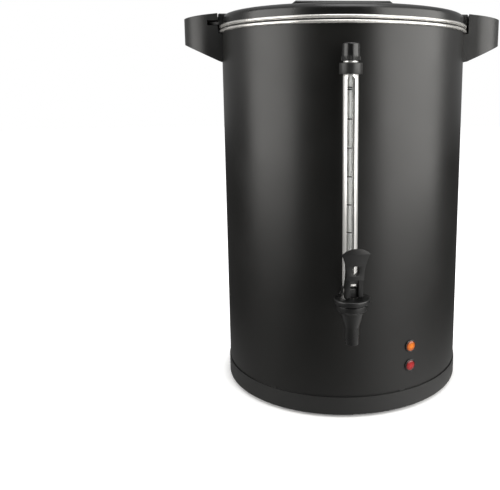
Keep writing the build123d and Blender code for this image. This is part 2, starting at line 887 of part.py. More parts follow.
with BuildPart() as gauge_seals:
    ring(gauge_plane(shield_bottom - 4), shield_outer - shield_wall, glass_outer, 4)
    ring(gauge_plane(glass_top), neck_outer, 2.5, 2)
gauge_seals.part.label = "gauge_seals"
export_step(gauge_seals.part, "parts/gauge_seals.step")

# ---------------------------------------------------------------- tap
tap_line = Axis((0, -tap_radius, 0), (0, 0, 1))
tap_section = Plane((0, -tap_radius, 0), x_dir=(1, 0, 0), z_dir=(0, -1, 0))
lever_angle = radians(lever_turn)
lever_pin = Plane(
    origin=(0, -tap_radius, pin_height),
    x_dir=(-sin(lever_angle), cos(lever_angle), 0),
    z_dir=(cos(lever_angle), sin(lever_angle), 0),
)
lever_front = Plane(
    origin=(0, -tap_radius, pin_height),
    x_dir=(cos(lever_angle), sin(lever_angle), 0),
    z_dir=(sin(lever_angle), -cos(lever_angle), 0),
)


def tap_plane(height):
    """A level plane centred on the tap's axis."""
    return Plane((0, -tap_radius, height))


def shank_plane(distance):
    """An upright plane across the shank, facing out, at a distance from the urn's axis."""
    return Plane((0, -distance, shank_height), x_dir=(1, 0, 0), z_dir=(0, -1, 0))


shank_start = tank_radius - shank_inside
shank_end = tee_end + tee_overlap
washer_start = tank_radius - washer_inside

with BuildPart() as tap_shank:
    ring(shank_plane(shank_start), shank_outer, shank_bore, shank_end - shank_start)
    cylinder(Plane((0, -gauge_radius, shank_height)), 3.0, shank_outer + 1, mode=Mode.SUBTRACT)
tap_shank.part.label = "tap_shank"
export_step(tap_shank.part, "parts/tap_shank.step")

with BuildPart() as shank_nut:
    with BuildSketch(shank_plane(washer_start - nut_height)):
        RegularPolygon(nut_radius, 6)
        Circle(shank_outer, mode=Mode.SUBTRACT)
    extrude(amount=nut_height)
shank_nut.part.label = "shank_nut"
export_step(shank_nut.part, "parts/shank_nut.step")

with BuildPart() as shank_washers:
    # One rubber washer inside the tank, one between the walls and one outside,
    # each shaped to the walls that it seals.
    ring(shank_plane(washer_start), washer_outer, shank_outer, tee_start - washer_start)
    for outer, inner in ((tank_outer, tank_radius), (shell_radius, shell_inner)):
        wall = Plane.XY.offset(shank_height - 2 * washer_outer)
        ring(wall, outer, inner, 4 * washer_outer, mode=Mode.SUBTRACT)
shank_washers.part.label = "shank_washers"
export_step(shank_washers.part, "parts/shank_washers.step")

with BuildPart() as gauge_tee:
    cylinder(shank_plane(tee_start), tee_radius, tee_length)
    cylinder(gauge_plane(shank_height), socket_radius, socket_height)
    chamfer(gauge_tee.edges().group_by(Axis.Z)[-1], 0.8)
    cylinder(shank_plane(tee_start), shank_outer, tee_length, mode=Mode.SUBTRACT)
    cylinder(gauge_plane(shank_height), 3.0, socket_height, mode=Mode.SUBTRACT)
    cylinder(gauge_plane(glass_bottom), glass_outer, socket_height, mode=Mode.SUBTRACT)
    cylinder(gauge_plane(shield_bottom - 4), shield_outer - shield_wall, 5, mode=Mode.SUBTRACT)
gauge_tee.part.label = "gauge_tee"
export_step(gauge_tee.part, "parts/gauge_tee.step")

band_bottom = band_top - band_height
cone_start = band_bottom - 2.0
bonnet_wall = 2.5

with BuildPart() as tap_body:
    with BuildSketch(tap_section):
        with BuildLine():
            Polyline(
                (0, spout_end),
                (spout_radius, spout_end),
                (cone_bottom, cone_start - cone_height + 2),
                (cone_top, cone_start - 1),
                (cone_top + 2, cone_start),
                (band_radius, band_bottom),
                (band_radius, band_top),
                (0, band_top),
                close=True,
            )
        make_face()
    revolve(axis=tap_line)
    cylinder(shank_plane(tee_end), shank_outer + 3, tap_radius - tee_end)
    # Valve chamber, bonnet thread, spout and the passage from the shank.
    cylinder(tap_plane(seat_height), valve_chamber, band_top - seat_height, mode=Mode.SUBTRACT)
    cylinder(tap_plane(band_top - spigot_depth), spigot_radius, spigot_depth, mode=Mode.SUBTRACT)
    cylinder(tap_plane(spout_end), spout_bore, seat_height - spout_end, mode=Mode.SUBTRACT)
    cylinder(shank_plane(tee_end), shank_bore, tap_radius - tee_end, mode=Mode.SUBTRACT)
    cylinder(shank_plane(tee_end), shank_outer, shank_end - tee_end, mode=Mode.SUBTRACT)
tap_body.part.label = "tap_body"
export_step(tap_body.part, "parts/tap_body.step")

with BuildPart() as tap_bonnet:
    cylinder(tap_plane(band_top), bonnet_radius, bonnet_flange)
    chamfer(tap_bonnet.edges().group_by(Axis.Z)[-1], 0.9)
    chamfer(tap_bonnet.edges().group_by(Axis.Z)[0], 0.6)
    cylinder(tap_plane(band_top), spigot_radius, -spigot_depth)
    cylinder(
        tap_plane(band_top - spigot_depth),
        spring_radius + 1.6,
        spigot_depth + bonnet_flange - bonnet_wall,
        mode=Mode.SUBTRACT,
    )
    cylinder(tap_plane(band_top), stem_radius + gap, bonnet_flange, mode=Mode.SUBTRACT)
tap_bonnet.part.label = "tap_bonnet"
export_step(tap_bonnet.part, "parts/tap_bonnet.step")

cup_bottom = seat_height + gap
cup_top = band_top - spigot_depth - stem_travel - gap
cup_height = cup_top - cup_bottom
stem_flange = 1.4
head_width = lever_slit - 2 * gap
head_round = 3.5
head_drop = 6.0  # flat head below the pin

with BuildPart() as tap_seat_cup:
    cylinder(tap_plane(cup_bottom), cup_radius, cup_height)
    fillet(tap_seat_cup.edges().group_by(Axis.Z)[0], 1.5)
    cylinder(tap_plane(cup_bottom + 2.5), stem_radius, cup_height, mode=Mode.SUBTRACT)
tap_seat_cup.part.label = "tap_seat_cup"
export_step(tap_seat_cup.part, "parts/tap_seat_cup.step")

with BuildPart() as tap_stem:
    cylinder(tap_plane(cup_bottom + 2.5), stem_radius, pin_height - 4 - cup_bottom - 2.5)
    cylinder(tap_plane(cup_top), cup_radius - 1.5, stem_flange)
    # Flat head between the lever's cheeks, rounded about the pin.
    with BuildSketch(lever_pin):
        Circle(head_round)
        with Locations((0, -head_drop / 2)):
            Rectangle(2 * head_round, head_drop)
    extrude(amount=head_width / 2, both=True)
    with BuildSketch(lever_pin):
        Circle(pin_radius)
    extrude(amount=head_width, both=True, mode=Mode.SUBTRACT)
tap_stem.part.label = "tap_stem"
export_step(tap_stem.part, "parts/tap_stem.step")

with BuildPart() as tap_pin:
    with BuildSketch(lever_pin):
        Circle(pin_radius)
    extrude(amount=cheek_width / 2, both=True)
tap_pin.part.label = "tap_pin"
export_step(tap_pin.part, "parts/tap_pin.step")

spring_bottom = cup_top + stem_flange
spring_top = bonnet_top - bonnet_wall
with BuildPart() as tap_spring:
    with BuildLine() as coil:
        Helix(
            pitch=(spring_top - spring_bottom - spring_wire) / spring_turns,
            height=spring_top - spring_bottom - spring_wire,
            radius=spring_radius,
            center=(0, -tap_radius, spring_bottom + spring_wire / 2),
        )
    with BuildSketch(Plane(origin=coil.line @ 0, z_dir=coil.line % 0)):
        Circle(spring_wire / 2)
    sweep()
tap_spring.part.label = "tap_spring"
export_step(tap_spring.part, "parts/tap_spring.step")

crown = lever_height - fan_rise
crown_radius = (paddle_fan**2 + crown**2) / (2 * crown)
crown_side = lever_height - crown_radius + (crown_radius**2 - (paddle_fan / 2) ** 2) ** 0.5

with BuildPart() as tap_lever:
    # Side view, from the pin: round cam at the foot, thinner paddle that leans forward.
    with BuildSketch(lever_pin):
        with BuildLine():
            foot = ThreePointArc(
                (-cam_offset - lever_cam, 0),
                (-cam_offset, -lever_cam),
                (lever_cam - cam_offset, 0),
            )
            back = ThreePointArc(foot @ 1, (-paddle_back, waist_rise), (-paddle_lean, lever_height + 1))
            tip = Line(back @ 1, (-paddle_lean - paddle_edge, lever_height + 1))
            ThreePointArc(tip @ 1, (-paddle_back - paddle_thick, waist_rise), foot @ 0)
        make_face()
    extrude(amount=paddle_fan + 1, both=True)
    # Front view: straight cheeks that fan out into a paddle with a crowned top.
    with BuildSketch(lever_front):
        with BuildLine():
            right = Polyline(
                (0, -lever_cam - 1),
                (cheek_width / 2, -lever_cam - 1),
                (cheek_width / 2, cheek_rise),
            )
            fan = Spline(
                right @ 1,
                (paddle_waist, waist_rise),
                (paddle_fan, fan_rise),
                tangents=((0, 1), (0.5, 1)),
            )
            ThreePointArc(fan @ 1, (paddle_fan / 2, crown_side), (0, lever_height))
            mirror(about=Plane.YZ)
        make_face()
    extrude(amount=30, both=True, mode=Mode.INTERSECT)
    # Slit between the cheeks, its wider mouth in front, slot in the paddle, and the pin's hole.
    slit_depth = 15
    with BuildSketch(lever_front):
        with Locations((0, bar_gap - slit_depth)):
            Rectangle(lever_slit, 2 * slit_depth)
        with Locations((0, waist_rise)):
            SlotOverall(sight_height, sight_width, rotation=90)
    extrude(amount=30, both=True, mode=Mode.SUBTRACT)
    with BuildSketch(lever_front.offset(mouth_depth)):
        with Locations((0, cheek_rise - slit_depth)):
            Rectangle(lever_slit, 2 * slit_depth)
    extrude(amount=30, mode=Mode.SUBTRACT)
    with BuildSketch(lever_pin):
        Circle(pin_radius + pin_fit)
    extrude(amount=cheek_width, both=True, mode=Mode.SUBTRACT)
tap_lever.part.label = "tap_lever"
export_step(tap_lever.part, "parts/tap_lever.step")

# ---------------------------------------------------------------- percolator
pump_top = rim_top - pump_top_gap
foot_bottom = well_floor + gap
foot_top = foot_bottom + pump_foot_height
tube_bottom = foot_bottom + pump_foot_wall + valve_thickness + valve_travel + 2.0
sleeve_inner = pump_outer + sleeve_fit
collar_top = basket_floor - basket_wall - gap

with BuildPart() as pump_tube:
    ring(Plane.XY.offset(tube_bottom), pump_outer, pump_outer - pump_wall, pump_top - tube_bottom)
    collar_base = Plane.XY.offset(collar_top - collar_height)
    ring(collar_base, pump_outer + collar_width, pump_outer - pump_wall, collar_height)
pump_tube.part.label = "pump_tube"
export_step(pump_tube.part, "parts/pump_tube.step")

with BuildPart() as pump_foot:
    with BuildSketch(Plane.XZ):
        with BuildLine():
            FilletPolyline(
                (0, foot_bottom),
                (pump_foot_radius, foot_bottom),
                (pump_foot_radius, foot_top - 3),
                (pump_outer + 2, foot_top),
                (0, foot_top),
                radius=[1.5, 2, 1],
            )
            Line((0, foot_top), (0, foot_bottom))
        make_face()
    revolve(axis=Axis.Z)
    chamber = pump_foot_height - 3 - 2 * pump_foot_wall
    cylinder(
        Plane.XY.offset(foot_bottom + pump_foot_wall),
        pump_foot_radius - pump_foot_wall,
        chamber,
        mode=Mode.SUBTRACT,
    )
    cylinder(Plane.XY.offset(foot_bottom), pump_outer, pump_foot_height, mode=Mode.SUBTRACT)
    # Floor with its inlet holes and the guide for the loose washer.
    ring(Plane.XY.offset(foot_bottom), pump_outer + 1, 1.0, pump_foot_wall)
    cylinder(Plane.XY.offset(foot_bottom), 2.0, pump_foot_wall + valve_thickness + valve_travel + gap)
    with BuildSketch(Plane.XY.offset(foot_bottom)):
        with PolarLocations(0.62 * pump_foot_radius, 3, start_angle=90):
            Circle(pump_foot_hole)
    extrude(amount=pump_foot_wall, mode=Mode.SUBTRACT)
pump_foot.part.label = "pump_foot"
export_step(pump_foot.part, "parts/pump_foot.step")

with BuildPart() as pump_valve:
    ring(
        Plane.XY.offset(foot_bottom + pump_foot_wall + 0.1),
        pump_foot_radius - pump_foot_wall - 0.6,
        2.0 + 0.4,
        valve_thickness,
    )
pump_valve.part.label = "pump_valve"
export_step(pump_valve.part, "parts/pump_valve.step")

basket_lean = 1.5
basket_inner = basket_radius - basket_lean

with BuildPart() as filter_basket:
    wall = []
    for groove in range(basket_grooves):
        low = basket_floor + groove_start + groove * groove_pitch
        lean = basket_inner + basket_lean * (low - basket_floor) / basket_depth
        wall += [
            (lean, low),
            (lean - groove_depth, low + 0.3 * groove_height),
            (lean - groove_depth, low + 0.7 * groove_height),
            (lean, low + groove_height),
        ]
    sleeve_outer = sleeve_inner + basket_wall
    pressed_sheet(
        [
            (sleeve_outer, basket_rim - 6),
            (sleeve_outer, basket_floor),
            (basket_inner, basket_floor),
            *wall,
            (basket_radius, basket_rim),
        ],
        [1, 6] + [0] * len(wall),
        basket_wall,
    )
    # Rolled rim.
    with BuildSketch(Plane.XZ):
        with Locations((basket_radius + 2.2, basket_rim - 2.5)):
            Circle(2.5)
            Circle(1.6, mode=Mode.SUBTRACT)
    revolve(axis=Axis.Z)
    with BuildSketch(Plane.XY.offset(basket_floor - 2)):
        for row in range(basket_holes):
            reach = 24 + row * (basket_inner - 40) / (basket_holes - 1)
            with PolarLocations(reach, 8 + 5 * row, start_angle=4 * row):
                Circle(basket_hole)
    extrude(amount=4, mode=Mode.SUBTRACT)
filter_basket.part.label = "filter_basket"
export_step(filter_basket.part, "parts/filter_basket.step")

with BuildPart() as basket_cover:
    cover_edge = basket_radius + 3
    pressed_sheet(
        [
            (sleeve_inner, basket_rim + gap + 3 + basket_wall),
            (basket_radius - 9, basket_rim + gap + 3 + basket_wall),
            (basket_radius - 6, basket_rim + gap + basket_wall),
            (cover_edge, basket_rim + gap + basket_wall),
        ],
        [2, 2],
        basket_wall,
    )
    with BuildSketch(Plane.XY.offset(basket_rim)):
        for row in range(basket_holes - 1):
            reach = 22 + row * (basket_inner - 44) / (basket_holes - 2)
            with PolarLocations(reach, 8 + 5 * row, start_angle=5 * row):
                Circle(basket_hole)
    extrude(amount=6, mode=Mode.SUBTRACT)
basket_cover.part.label = "basket_cover"
export_step(basket_cover.part, "parts/basket_cover.step")

# ---------------------------------------------------------------- heaters and controls
heater_inner = well_radius + tank_wall + heater_gap
heater_bottom = tank_under - heater_height
well_under = well_floor - tank_wall
strap_top = heater_bottom
strap_bottom = strap_top - strap_thickness

with BuildPart() as brew_heater:
    ring(Plane.XY.offset(heater_bottom), heater_outer, heater_inner, heater_height)
    fillet(brew_heater.edges().group_by(Axis.Z)[0].sort_by(SortBy.RADIUS)[-1], 3)
    for x in (-1, 1):
        middle = (heater_outer + heater_inner) / 2
        cylinder(Plane((x * middle, 0, heater_bottom)), heater_pin_radius, -heater_pin_length)
brew_heater.part.label = "brew_heater"
export_step(brew_heater.part, "parts/brew_heater.step")

with BuildPart() as clamp_stud:
    cylinder(Plane.XY.offset(well_under), stud_radius + 3, -2)
    cylinder(Plane.XY.offset(well_under), stud_radius, -stud_length)
clamp_stud.part.label = "clamp_stud"
export_step(clamp_stud.part, "parts/clamp_stud.step")

with BuildPart() as heater_clamp:
    with BuildSketch(Plane.XY.offset(strap_bottom)):
        SlotOverall(strap_length, strap_width, rotation=90)
        Circle(stud_radius + hole_room, mode=Mode.SUBTRACT)
    extrude(amount=strap_thickness)
heater_clamp.part.label = "heater_clamp"
export_step(heater_clamp.part, "parts/heater_clamp.step")

with BuildPart() as clamp_nut:
    with BuildSketch(Plane.XY.offset(strap_bottom)):
        RegularPolygon(1.9 * stud_radius, 6)
        Circle(stud_radius, mode=Mode.SUBTRACT)
    extrude(amount=-5)
clamp_nut.part.label = "clamp_nut"
export_step(clamp_nut.part, "parts/clamp_nut.step")

with BuildPart() as warm_heater:
    ring(Plane.XY.offset(tank_under - warm_height), warm_outer, warm_inner, warm_height)
    for x in (-1, 1):
        with BuildSketch(Plane((x * (warm_outer - tab_inset), 0, tank_under - warm_height))):
            Rectangle(tab_width, tab_thickness)
        extrude(amount=-tab_length)
warm_heater.part.label = "warm_heater"
export_step(warm_heater.part, "parts/warm_heater.step")


def thermostat(angle):
    """A button thermostat with two blades, pressed on the tank's underside."""
    turn = radians(angle)
    x, y = thermostat_ring * cos(turn), thermostat_ring * sin(turn)
    low = tank_under - thermostat_cap
    cylinder(Plane((x, y, tank_under)), thermostat_radius, -thermostat_cap)
    cylinder(Plane((x, y, low)), thermostat_radius - 1.2, -thermostat_body)
    for side in (-4, 4):
        foot = Plane((x + side * sin(turn), y - side * cos(turn), low - thermostat_body))
        with BuildSketch(foot) as blade:
            Rectangle(2.4, 2.4)
        extrude(blade.sketch, amount=-thermostat_blade)


with BuildPart() as brew_thermostat:
    thermostat(150)
brew_thermostat.part.label = "brew_thermostat"
export_step(brew_thermostat.part, "parts/brew_thermostat.step")

with BuildPart() as warm_thermostat:
    thermostat(30)
warm_thermostat.part.label = "warm_thermostat"
export_step(warm_thermostat.part, "parts/warm_thermostat.step")

with BuildPart() as thermal_fuse:
    fuse = Plane((-10, -thermostat_ring, tank_under - 4), x_dir=(0, 1, 0), z_dir=(1, 0, 0))
    cylinder(fuse, 2.2, 20)
    block(fuse.offset(5), 9, 4.4, 10)
    block(Plane((0, -thermostat_ring, tank_under)), 10, 9, -4)
thermal_fuse.part.label = "thermal_fuse"
export_step(thermal_fuse.part, "parts/thermal_fuse.step")

block_top = plate_top + terminal_height
with BuildPart() as terminal_block:
    block(Plane((0, terminal_back, plate_top)), terminal_width, terminal_depth, terminal_height)
    fillet(terminal_block.edges().filter_by(Axis.Z), 2)
    with BuildSketch(Plane.XY.offset(block_top)):
        with Locations((0, terminal_back)):
            with GridLocations(terminal_pitch, terminal_pitch, 4, 2):
                Circle(terminal_hole)
    extrude(amount=-terminal_hole_depth, mode=Mode.SUBTRACT)
terminal_block.part.label = "terminal_block"
export_step(terminal_block.part, "parts/terminal_block.step")


def lead(points, bend):
    """An insulated lead along straight runs joined by arcs."""
    with BuildLine() as route:
        FilletPolyline(*points, radius=bend)
    with BuildSketch(Plane(origin=route.line @ 0, z_dir=route.line % 0)) as section:
        Circle(lead_radius)
    sweep(section.sketch, path=route.line)


with BuildPart() as internal_leads:
    pin_x = (heater_outer + heater_inner) / 2
    pin_tip = heater_bottom - heater_pin_length
    tab_x = warm_outer - tab_inset
    tab_tip = tank_under - warm_height - tab_length
    lead_foot = block_top - lead_entry
    front_row = terminal_back - terminal_pitch / 2
    back_row = terminal_back + terminal_pitch / 2
    blade_level = inlet_height - blade_row
    for x in (-1, 1):
        outer_x = x * 1.5 * terminal_pitch
        inner_x = x * 0.5 * terminal_pitch
        lead(
            [
                (outer_x, front_row, lead_foot),
                (outer_x, front_row, block_top + heater_lead_rise),
                (x * pin_x, 0, pin_tip - heater_lead_drop),
                (x * pin_x, 0, pin_tip),
            ],
            heater_lead_bend,
        )
        lead(
            [
                (outer_x, back_row, lead_foot),
                (outer_x, back_row, block_top + warm_lead_rise),
                (x * tab_x, 0, tab_tip - warm_lead_drop),
                (x * tab_x, 0, tab_tip),
            ],
            warm_lead_bend,
        )
        lead(
            [
                (inner_x, back_row, lead_foot),
                (inner_x, back_row, block_top + mains_lead_rise),
                (x * blade_spread, mains_lead_back, blade_level),
                (x * blade_spread, shell_radius - blade_back, blade_level),
            ],
            mains_lead_bend,
        )
internal_leads.part.label = "internal_leads"
export_step(internal_leads.part, "parts/internal_leads.step")

# ---------------------------------------------------------------- lights
light_depth = 14.0
lens_seat = 0.4
lens_shaft = light_body - 1.2
light_faces = [wall_plane(light_angle, level) for level in light_heights]

with BuildPart() as light_bezels:
    for face in light_faces:
        cylinder(face.offset(-1), light_flange, 2.6)
    outer_edges = light_bezels.edges().filter_by(GeomType.CIRCLE)
    fillet(outer_edges.sort_by_distance((0, 0, light_height))[-2:], 0.6)
    below = Plane.XY.offset(light_heights[1] - 2 * light_flange)
    cylinder(below, shell_radius, light_pitch + 4 * light_flange, mode=Mode.SUBTRACT)
    for face in light_faces:
        cylinder(face.offset(-light_depth), light_body, light_depth + lens_seat)
        cylinder(face.offset(lens_seat), lens_radius, 3, mode=Mode.SUBTRACT)
        cylinder(face.offset(-light_depth), lens_shaft, light_depth + 3, mode=Mode.SUBTRACT)
light_bezels.part.label = "light_bezels"
export_step(light_bezels.part, "parts/light_bezels.step")


def lens(face):
    """A lamp lens: a low dome in the bezel with a shaft behind it."""
    cylinder(face.offset(lens_seat), lens_radius, 2.2)
    cylinder(face.offset(lens_seat - 12), lens_shaft, 12)


with BuildPart() as amber_lens:
    lens(light_faces[0])
amber_lens.part.label = "amber_lens"
export_step(amber_lens.part, "parts/amber_lens.step")

with BuildPart() as red_lens:
    lens(light_faces[1])
red_lens.part.label = "red_lens"
export_step(red_lens.part, "parts/red_lens.step")

with BuildPart() as light_nuts:
    for level in light_heights:
        ring(wall_plane(light_angle, level, shell_inner - gap), light_body + 3.4, light_body, -2.5)
light_nuts.part.label = "light_nuts"
export_step(light_nuts.part, "parts/light_nuts.step")

# ---------------------------------------------------------------- power inlet and switch
inlet_plane = wall_plane(180, inlet_height)
blade_places = ((-blade_spread, -blade_row), (blade_spread, -blade_row), (0, blade_row))

with BuildPart() as power_inlet:
    block(inlet_plane.offset(-4), inlet_width, inlet_tall, 4 + inlet_proud)
    fillet(power_inlet.edges().filter_by(Axis.Y), 4)
    below = Plane.XY.offset(inlet_height - inlet_tall)
    cylinder(below, shell_radius, 2 * inlet_tall, mode=Mode.SUBTRACT)
    inlet_back = inlet_plane.offset(-inlet_body_depth)
    block(inlet_back, inlet_body_width, inlet_body_tall, inlet_body_depth + 1)
    # Keyed socket: two of its corners are cut off.
    with BuildSketch(inlet_plane.offset(inlet_proud)):
        key = Rectangle(socket_width, socket_tall)
        chamfer(key.vertices().group_by(Axis.Z)[-1], socket_key)
    extrude(amount=-socket_depth, mode=Mode.SUBTRACT)
    with BuildSketch(inlet_back):
        with Locations(*blade_places):
            Rectangle(blade_width, blade_height)
    extrude(amount=inlet_body_depth, mode=Mode.SUBTRACT)
    for x in (-inlet_screw_x, inlet_screw_x):
        screw_seat = inlet_plane.offset(inlet_proud) * Location((x, 0, 0))
        cylinder(screw_seat, screw_radius, -inlet_screw_length, mode=Mode.SUBTRACT)
        cylinder(screw_seat, small_head_radius, -sunk_head, mode=Mode.SUBTRACT)
power_inlet.part.label = "power_inlet"
export_step(power_inlet.part, "parts/power_inlet.step")

with BuildPart() as inlet_pins:
    with BuildSketch(inlet_plane.offset(-blade_back)):
        with Locations(*blade_places):
            Rectangle(blade_width, blade_height)
    extrude(amount=blade_back + 0.5)
inlet_pins.part.label = "inlet_pins"
export_step(inlet_pins.part, "parts/inlet_pins.step")

with BuildPart() as inlet_screws:
    for x in (-inlet_screw_x, inlet_screw_x):
        screw_seat = inlet_plane.offset(inlet_proud) * Location((x, 0, 0))
        cylinder(screw_seat, small_head_radius, -sunk_head)
        cylinder(screw_seat, screw_radius, -inlet_screw_length)
inlet_screws.part.label = "inlet_screws"
export_step(inlet_screws.part, "parts/inlet_screws.step")

switch_plane = wall_plane(switch_angle, switch_height)
window_width = switch_body_width - 2 * window_border
window_tall = switch_body_tall - 2 * window_border
rocker_reach = window_tall / 2 - 0.5
# Seen along the pivot: x points out of the wall, y points down.
pivot_plane = Plane(
    origin=switch_plane.offset(-pivot_depth).origin,
    x_dir=switch_plane.z_dir,
    z_dir=switch_plane.x_dir,
)

with BuildPart() as switch_housing:
    block(switch_plane.offset(-3), switch_width, switch_tall, 5)
    corners = switch_housing.edges().filter_by(lambda edge: abs((edge % 0).dot(switch_plane.z_dir)) > 0.99)
    fillet(corners, 2.5)
    below = Plane.XY.offset(switch_height - switch_tall)
    cylinder(below, shell_radius, 2 * switch_tall, mode=Mode.SUBTRACT)
    block(switch_plane.offset(-switch_body_depth), switch_body_width, switch_body_tall, switch_body_depth + 1)
    block(switch_plane.offset(2), window_width, window_tall, -window_depth, mode=Mode.SUBTRACT)
    bore = pivot_plane.offset(-window_width / 2 - 1)
    cylinder(bore, pip_radius + pin_fit, window_width + 2, mode=Mode.SUBTRACT)
    for y in (-switch_tab_row, switch_tab_row):
        with BuildSketch(switch_plane.offset(-switch_body_depth - switch_tab)):
            with Locations((0, y)):
                Rectangle(tab_width, tab_thickness)
        extrude(amount=switch_tab)
switch_housing.part.label = "switch_housing"
export_step(switch_housing.part, "parts/switch_housing.step")

with BuildPart() as switch_rocker:
    half = window_width / 2 - gap
    pivot = Axis((0, 0, 0), switch_plane.x_dir)
    tilted = Plane(
        origin=pivot_plane.origin,
        x_dir=switch_plane.z_dir.rotate(pivot, -rocker_tilt),
        z_dir=switch_plane.x_dir,
    )
    horn = rocker_crest + rocker_half * sin(radians(rocker_tilt))
    with BuildSketch(tilted):
        with BuildLine():
            Polyline(
                (-rocker_back, -rocker_half),
                (horn, -rocker_half),
                (rocker_crest, 0),
                (horn, rocker_half),
                (-rocker_back, rocker_half),
                close=True,
            )
        make_face()
        Circle(rocker_reach, mode=Mode.INTERSECT)
    extrude(amount=half, both=True)
    cylinder(pivot_plane.offset(-half - 0.9), pip_radius, 2 * half + 1.8)
switch_rocker.part.label = "switch_rocker"
export_step(switch_rocker.part, "parts/switch_rocker.step")
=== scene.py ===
# %% [markdown]
# # A coffee urn, dressed for its portrait
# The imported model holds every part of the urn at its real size: walls, lid, tap, gauge, percolator and
# heaters. This lesson gives those parts their finishes and builds finer pieces where a tessellated
# solid would look coarse. Everything is in metres, in the model's own frame, so nothing is fitted.

import json
from math import atan2, cos, degrees, pi, radians, sin, tan

import bmesh
import bpy
from mathutils import Matrix, Vector


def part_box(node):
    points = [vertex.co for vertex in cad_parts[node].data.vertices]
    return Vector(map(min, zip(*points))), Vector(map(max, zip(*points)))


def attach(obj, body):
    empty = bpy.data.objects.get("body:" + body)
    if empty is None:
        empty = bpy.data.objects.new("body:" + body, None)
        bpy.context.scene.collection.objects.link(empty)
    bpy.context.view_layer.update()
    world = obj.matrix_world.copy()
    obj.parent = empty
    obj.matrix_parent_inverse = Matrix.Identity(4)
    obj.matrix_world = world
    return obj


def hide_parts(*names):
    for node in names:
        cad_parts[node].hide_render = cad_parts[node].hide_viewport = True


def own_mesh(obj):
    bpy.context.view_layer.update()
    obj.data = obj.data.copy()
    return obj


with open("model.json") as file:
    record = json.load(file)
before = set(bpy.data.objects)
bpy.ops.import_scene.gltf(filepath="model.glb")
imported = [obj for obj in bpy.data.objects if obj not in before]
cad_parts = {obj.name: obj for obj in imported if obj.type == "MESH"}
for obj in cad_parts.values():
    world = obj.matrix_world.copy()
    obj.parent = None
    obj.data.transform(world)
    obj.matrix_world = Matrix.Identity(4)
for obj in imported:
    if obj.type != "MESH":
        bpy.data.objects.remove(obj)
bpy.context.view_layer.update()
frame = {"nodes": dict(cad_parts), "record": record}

# %% [markdown]
# ## Sizes
# A few lengths are read from the parts themselves, so that a piece stays where the model has it. The
# rest are given in millimetres, each in its own cell. One factor turns them into Blender's metres.

# %% Sizes read from the parts
MM = 0.001
scene = bpy.context.scene


def low(node):
    """Lowest corner of a part, in millimetres."""
    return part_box(node)[0] / MM


def high(node):
    """Highest corner of a part, in millimetres."""
    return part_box(node)[1] / MM


def mid(node, axis):
    """Middle of a part along one axis, in millimetres."""
    return (getattr(low(node), axis) + getattr(high(node), axis)) / 2


wall_radius = high("outer_shell").x
wall_top = high("outer_shell").z
rim_radius = high("inner_tank").x
rim_top = high("inner_tank").z
bead_top = high("lid_pan").z
gauge_y = mid("gauge_neck", "y")
tap_y = mid("tap_bonnet", "y")
print("wall", round(wall_radius, 1), "rim top", round(rim_top, 1), "gauge y", round(gauge_y, 1))

# %% [markdown]
# ## Camera
# The urn is seen from slightly above and a little from its left. A lens shift, as on a view camera,
# puts it to the right of the frame without turning the camera, so its sides stay nearly upright.

# %% Camera
camera_place = Vector((-44.3, -821.4, 368.0)) * MM
camera_turn = 2.0  # degrees to the right of straight ahead
camera_tilt = 9.93  # degrees downwards


def linked(name, data):
    """An object in the scene for a camera, a lamp or a mesh."""
    thing = bpy.data.objects.new(name, data)
    scene.collection.objects.link(thing)
    return thing


camera = linked("camera", bpy.data.cameras.new("camera"))
camera.data.lens = 45.6
camera.data.sensor_width = 36.0
camera.data.shift_x = -0.16
camera.data.shift_y = -0.085
camera.data.clip_start = 0.01
camera.location = camera_place
camera.rotation_euler = (radians(90 - camera_tilt), 0, radians(-camera_turn))
scene.camera = camera
scene.view_settings.view_transform = "Standard"

# %% [markdown]
# ## Studio
# Two tall soft boxes stand left and right, a weaker one hangs above. The world is white where the
# camera looks at it, and darker towards the front, as the unlit side of a studio is: a round black
# body shows that dark side as the deep stripe down its middle. The floor is white and keeps the shadow,
# with a painted soft shadow ring at the urn's foot. In the urn's gloss the floor is grey, painted
# lighter near the urn and in a pool to the right, and painted darker behind the urn.


# %% Levels of light
room_front = 0.0  # strengths that gloss sees: in front of the urn, behind it, and overhead
room_back = 0.4
room_top = 1.0
room_turn = (-0.6, 0.7)  # how far back a direction points where the front ends and the back starts
room_rise = (0.4, 0.85)  # how steep it is where the walls end and the ceiling starts
room_through = 1.6  # what gloss sees through glass
room_diffuse = 0.25  # the even level for diffuse light
floor_radius = 6.0
floor_white = 0.86
floor_near = 0.34  # the floor's grey in the urn's gloss, close by and far out: painted lighter near the urn
floor_far = 0.11
floor_fade = (0.17, 0.38)  # how far from the axis these two are
painted_pool_level = 0.5  # a painted pool of light, added to the floor's grey in gloss towards the right box
painted_pool_turn = radians(38)  # its direction from the axis, to the right of the front
painted_pool_narrow = 6.0  # the higher, the narrower the pool
painted_shade_behind = 0.75  # painted shade: the share of the grey that is left behind the urn
painted_shade_turn = (-0.1, 0.7)  # how far back a direction points where it starts and ends to fall
painted_shadow_lift = 0.15  # the floor's glow at the urn's foot, where it is seen directly: kept low there, it paints a soft shadow ring besides the real shadow
painted_shadow_reach = (0.148, 0.178)  # how far from the axis it starts and ends to rise to white

# %% Soft boxes
urn_middle = Vector((0, 0, 0.24))
warm_white = (1.0, 0.985, 0.955)
plain_white = (1.0, 1.0, 1.0)


def soft_box(name, azimuth, distance, height, width, tall, watts, colour):
    """A rectangular lamp that looks at the urn's middle. Azimuth 0 is at the camera's side."""
    lamp = bpy.data.lights.new(name, "AREA")
    lamp.shape = "RECTANGLE"
    lamp.size = width
    lamp.size_y = tall
    lamp.energy = watts
    lamp.color = colour
    holder = linked(name, lamp)
    turn = radians(azimuth)
    holder.location = (distance * sin(turn), -distance * cos(turn), height)
    holder.rotation_euler = (urn_middle - holder.location).to_track_quat("-Z", "Y").to_euler()


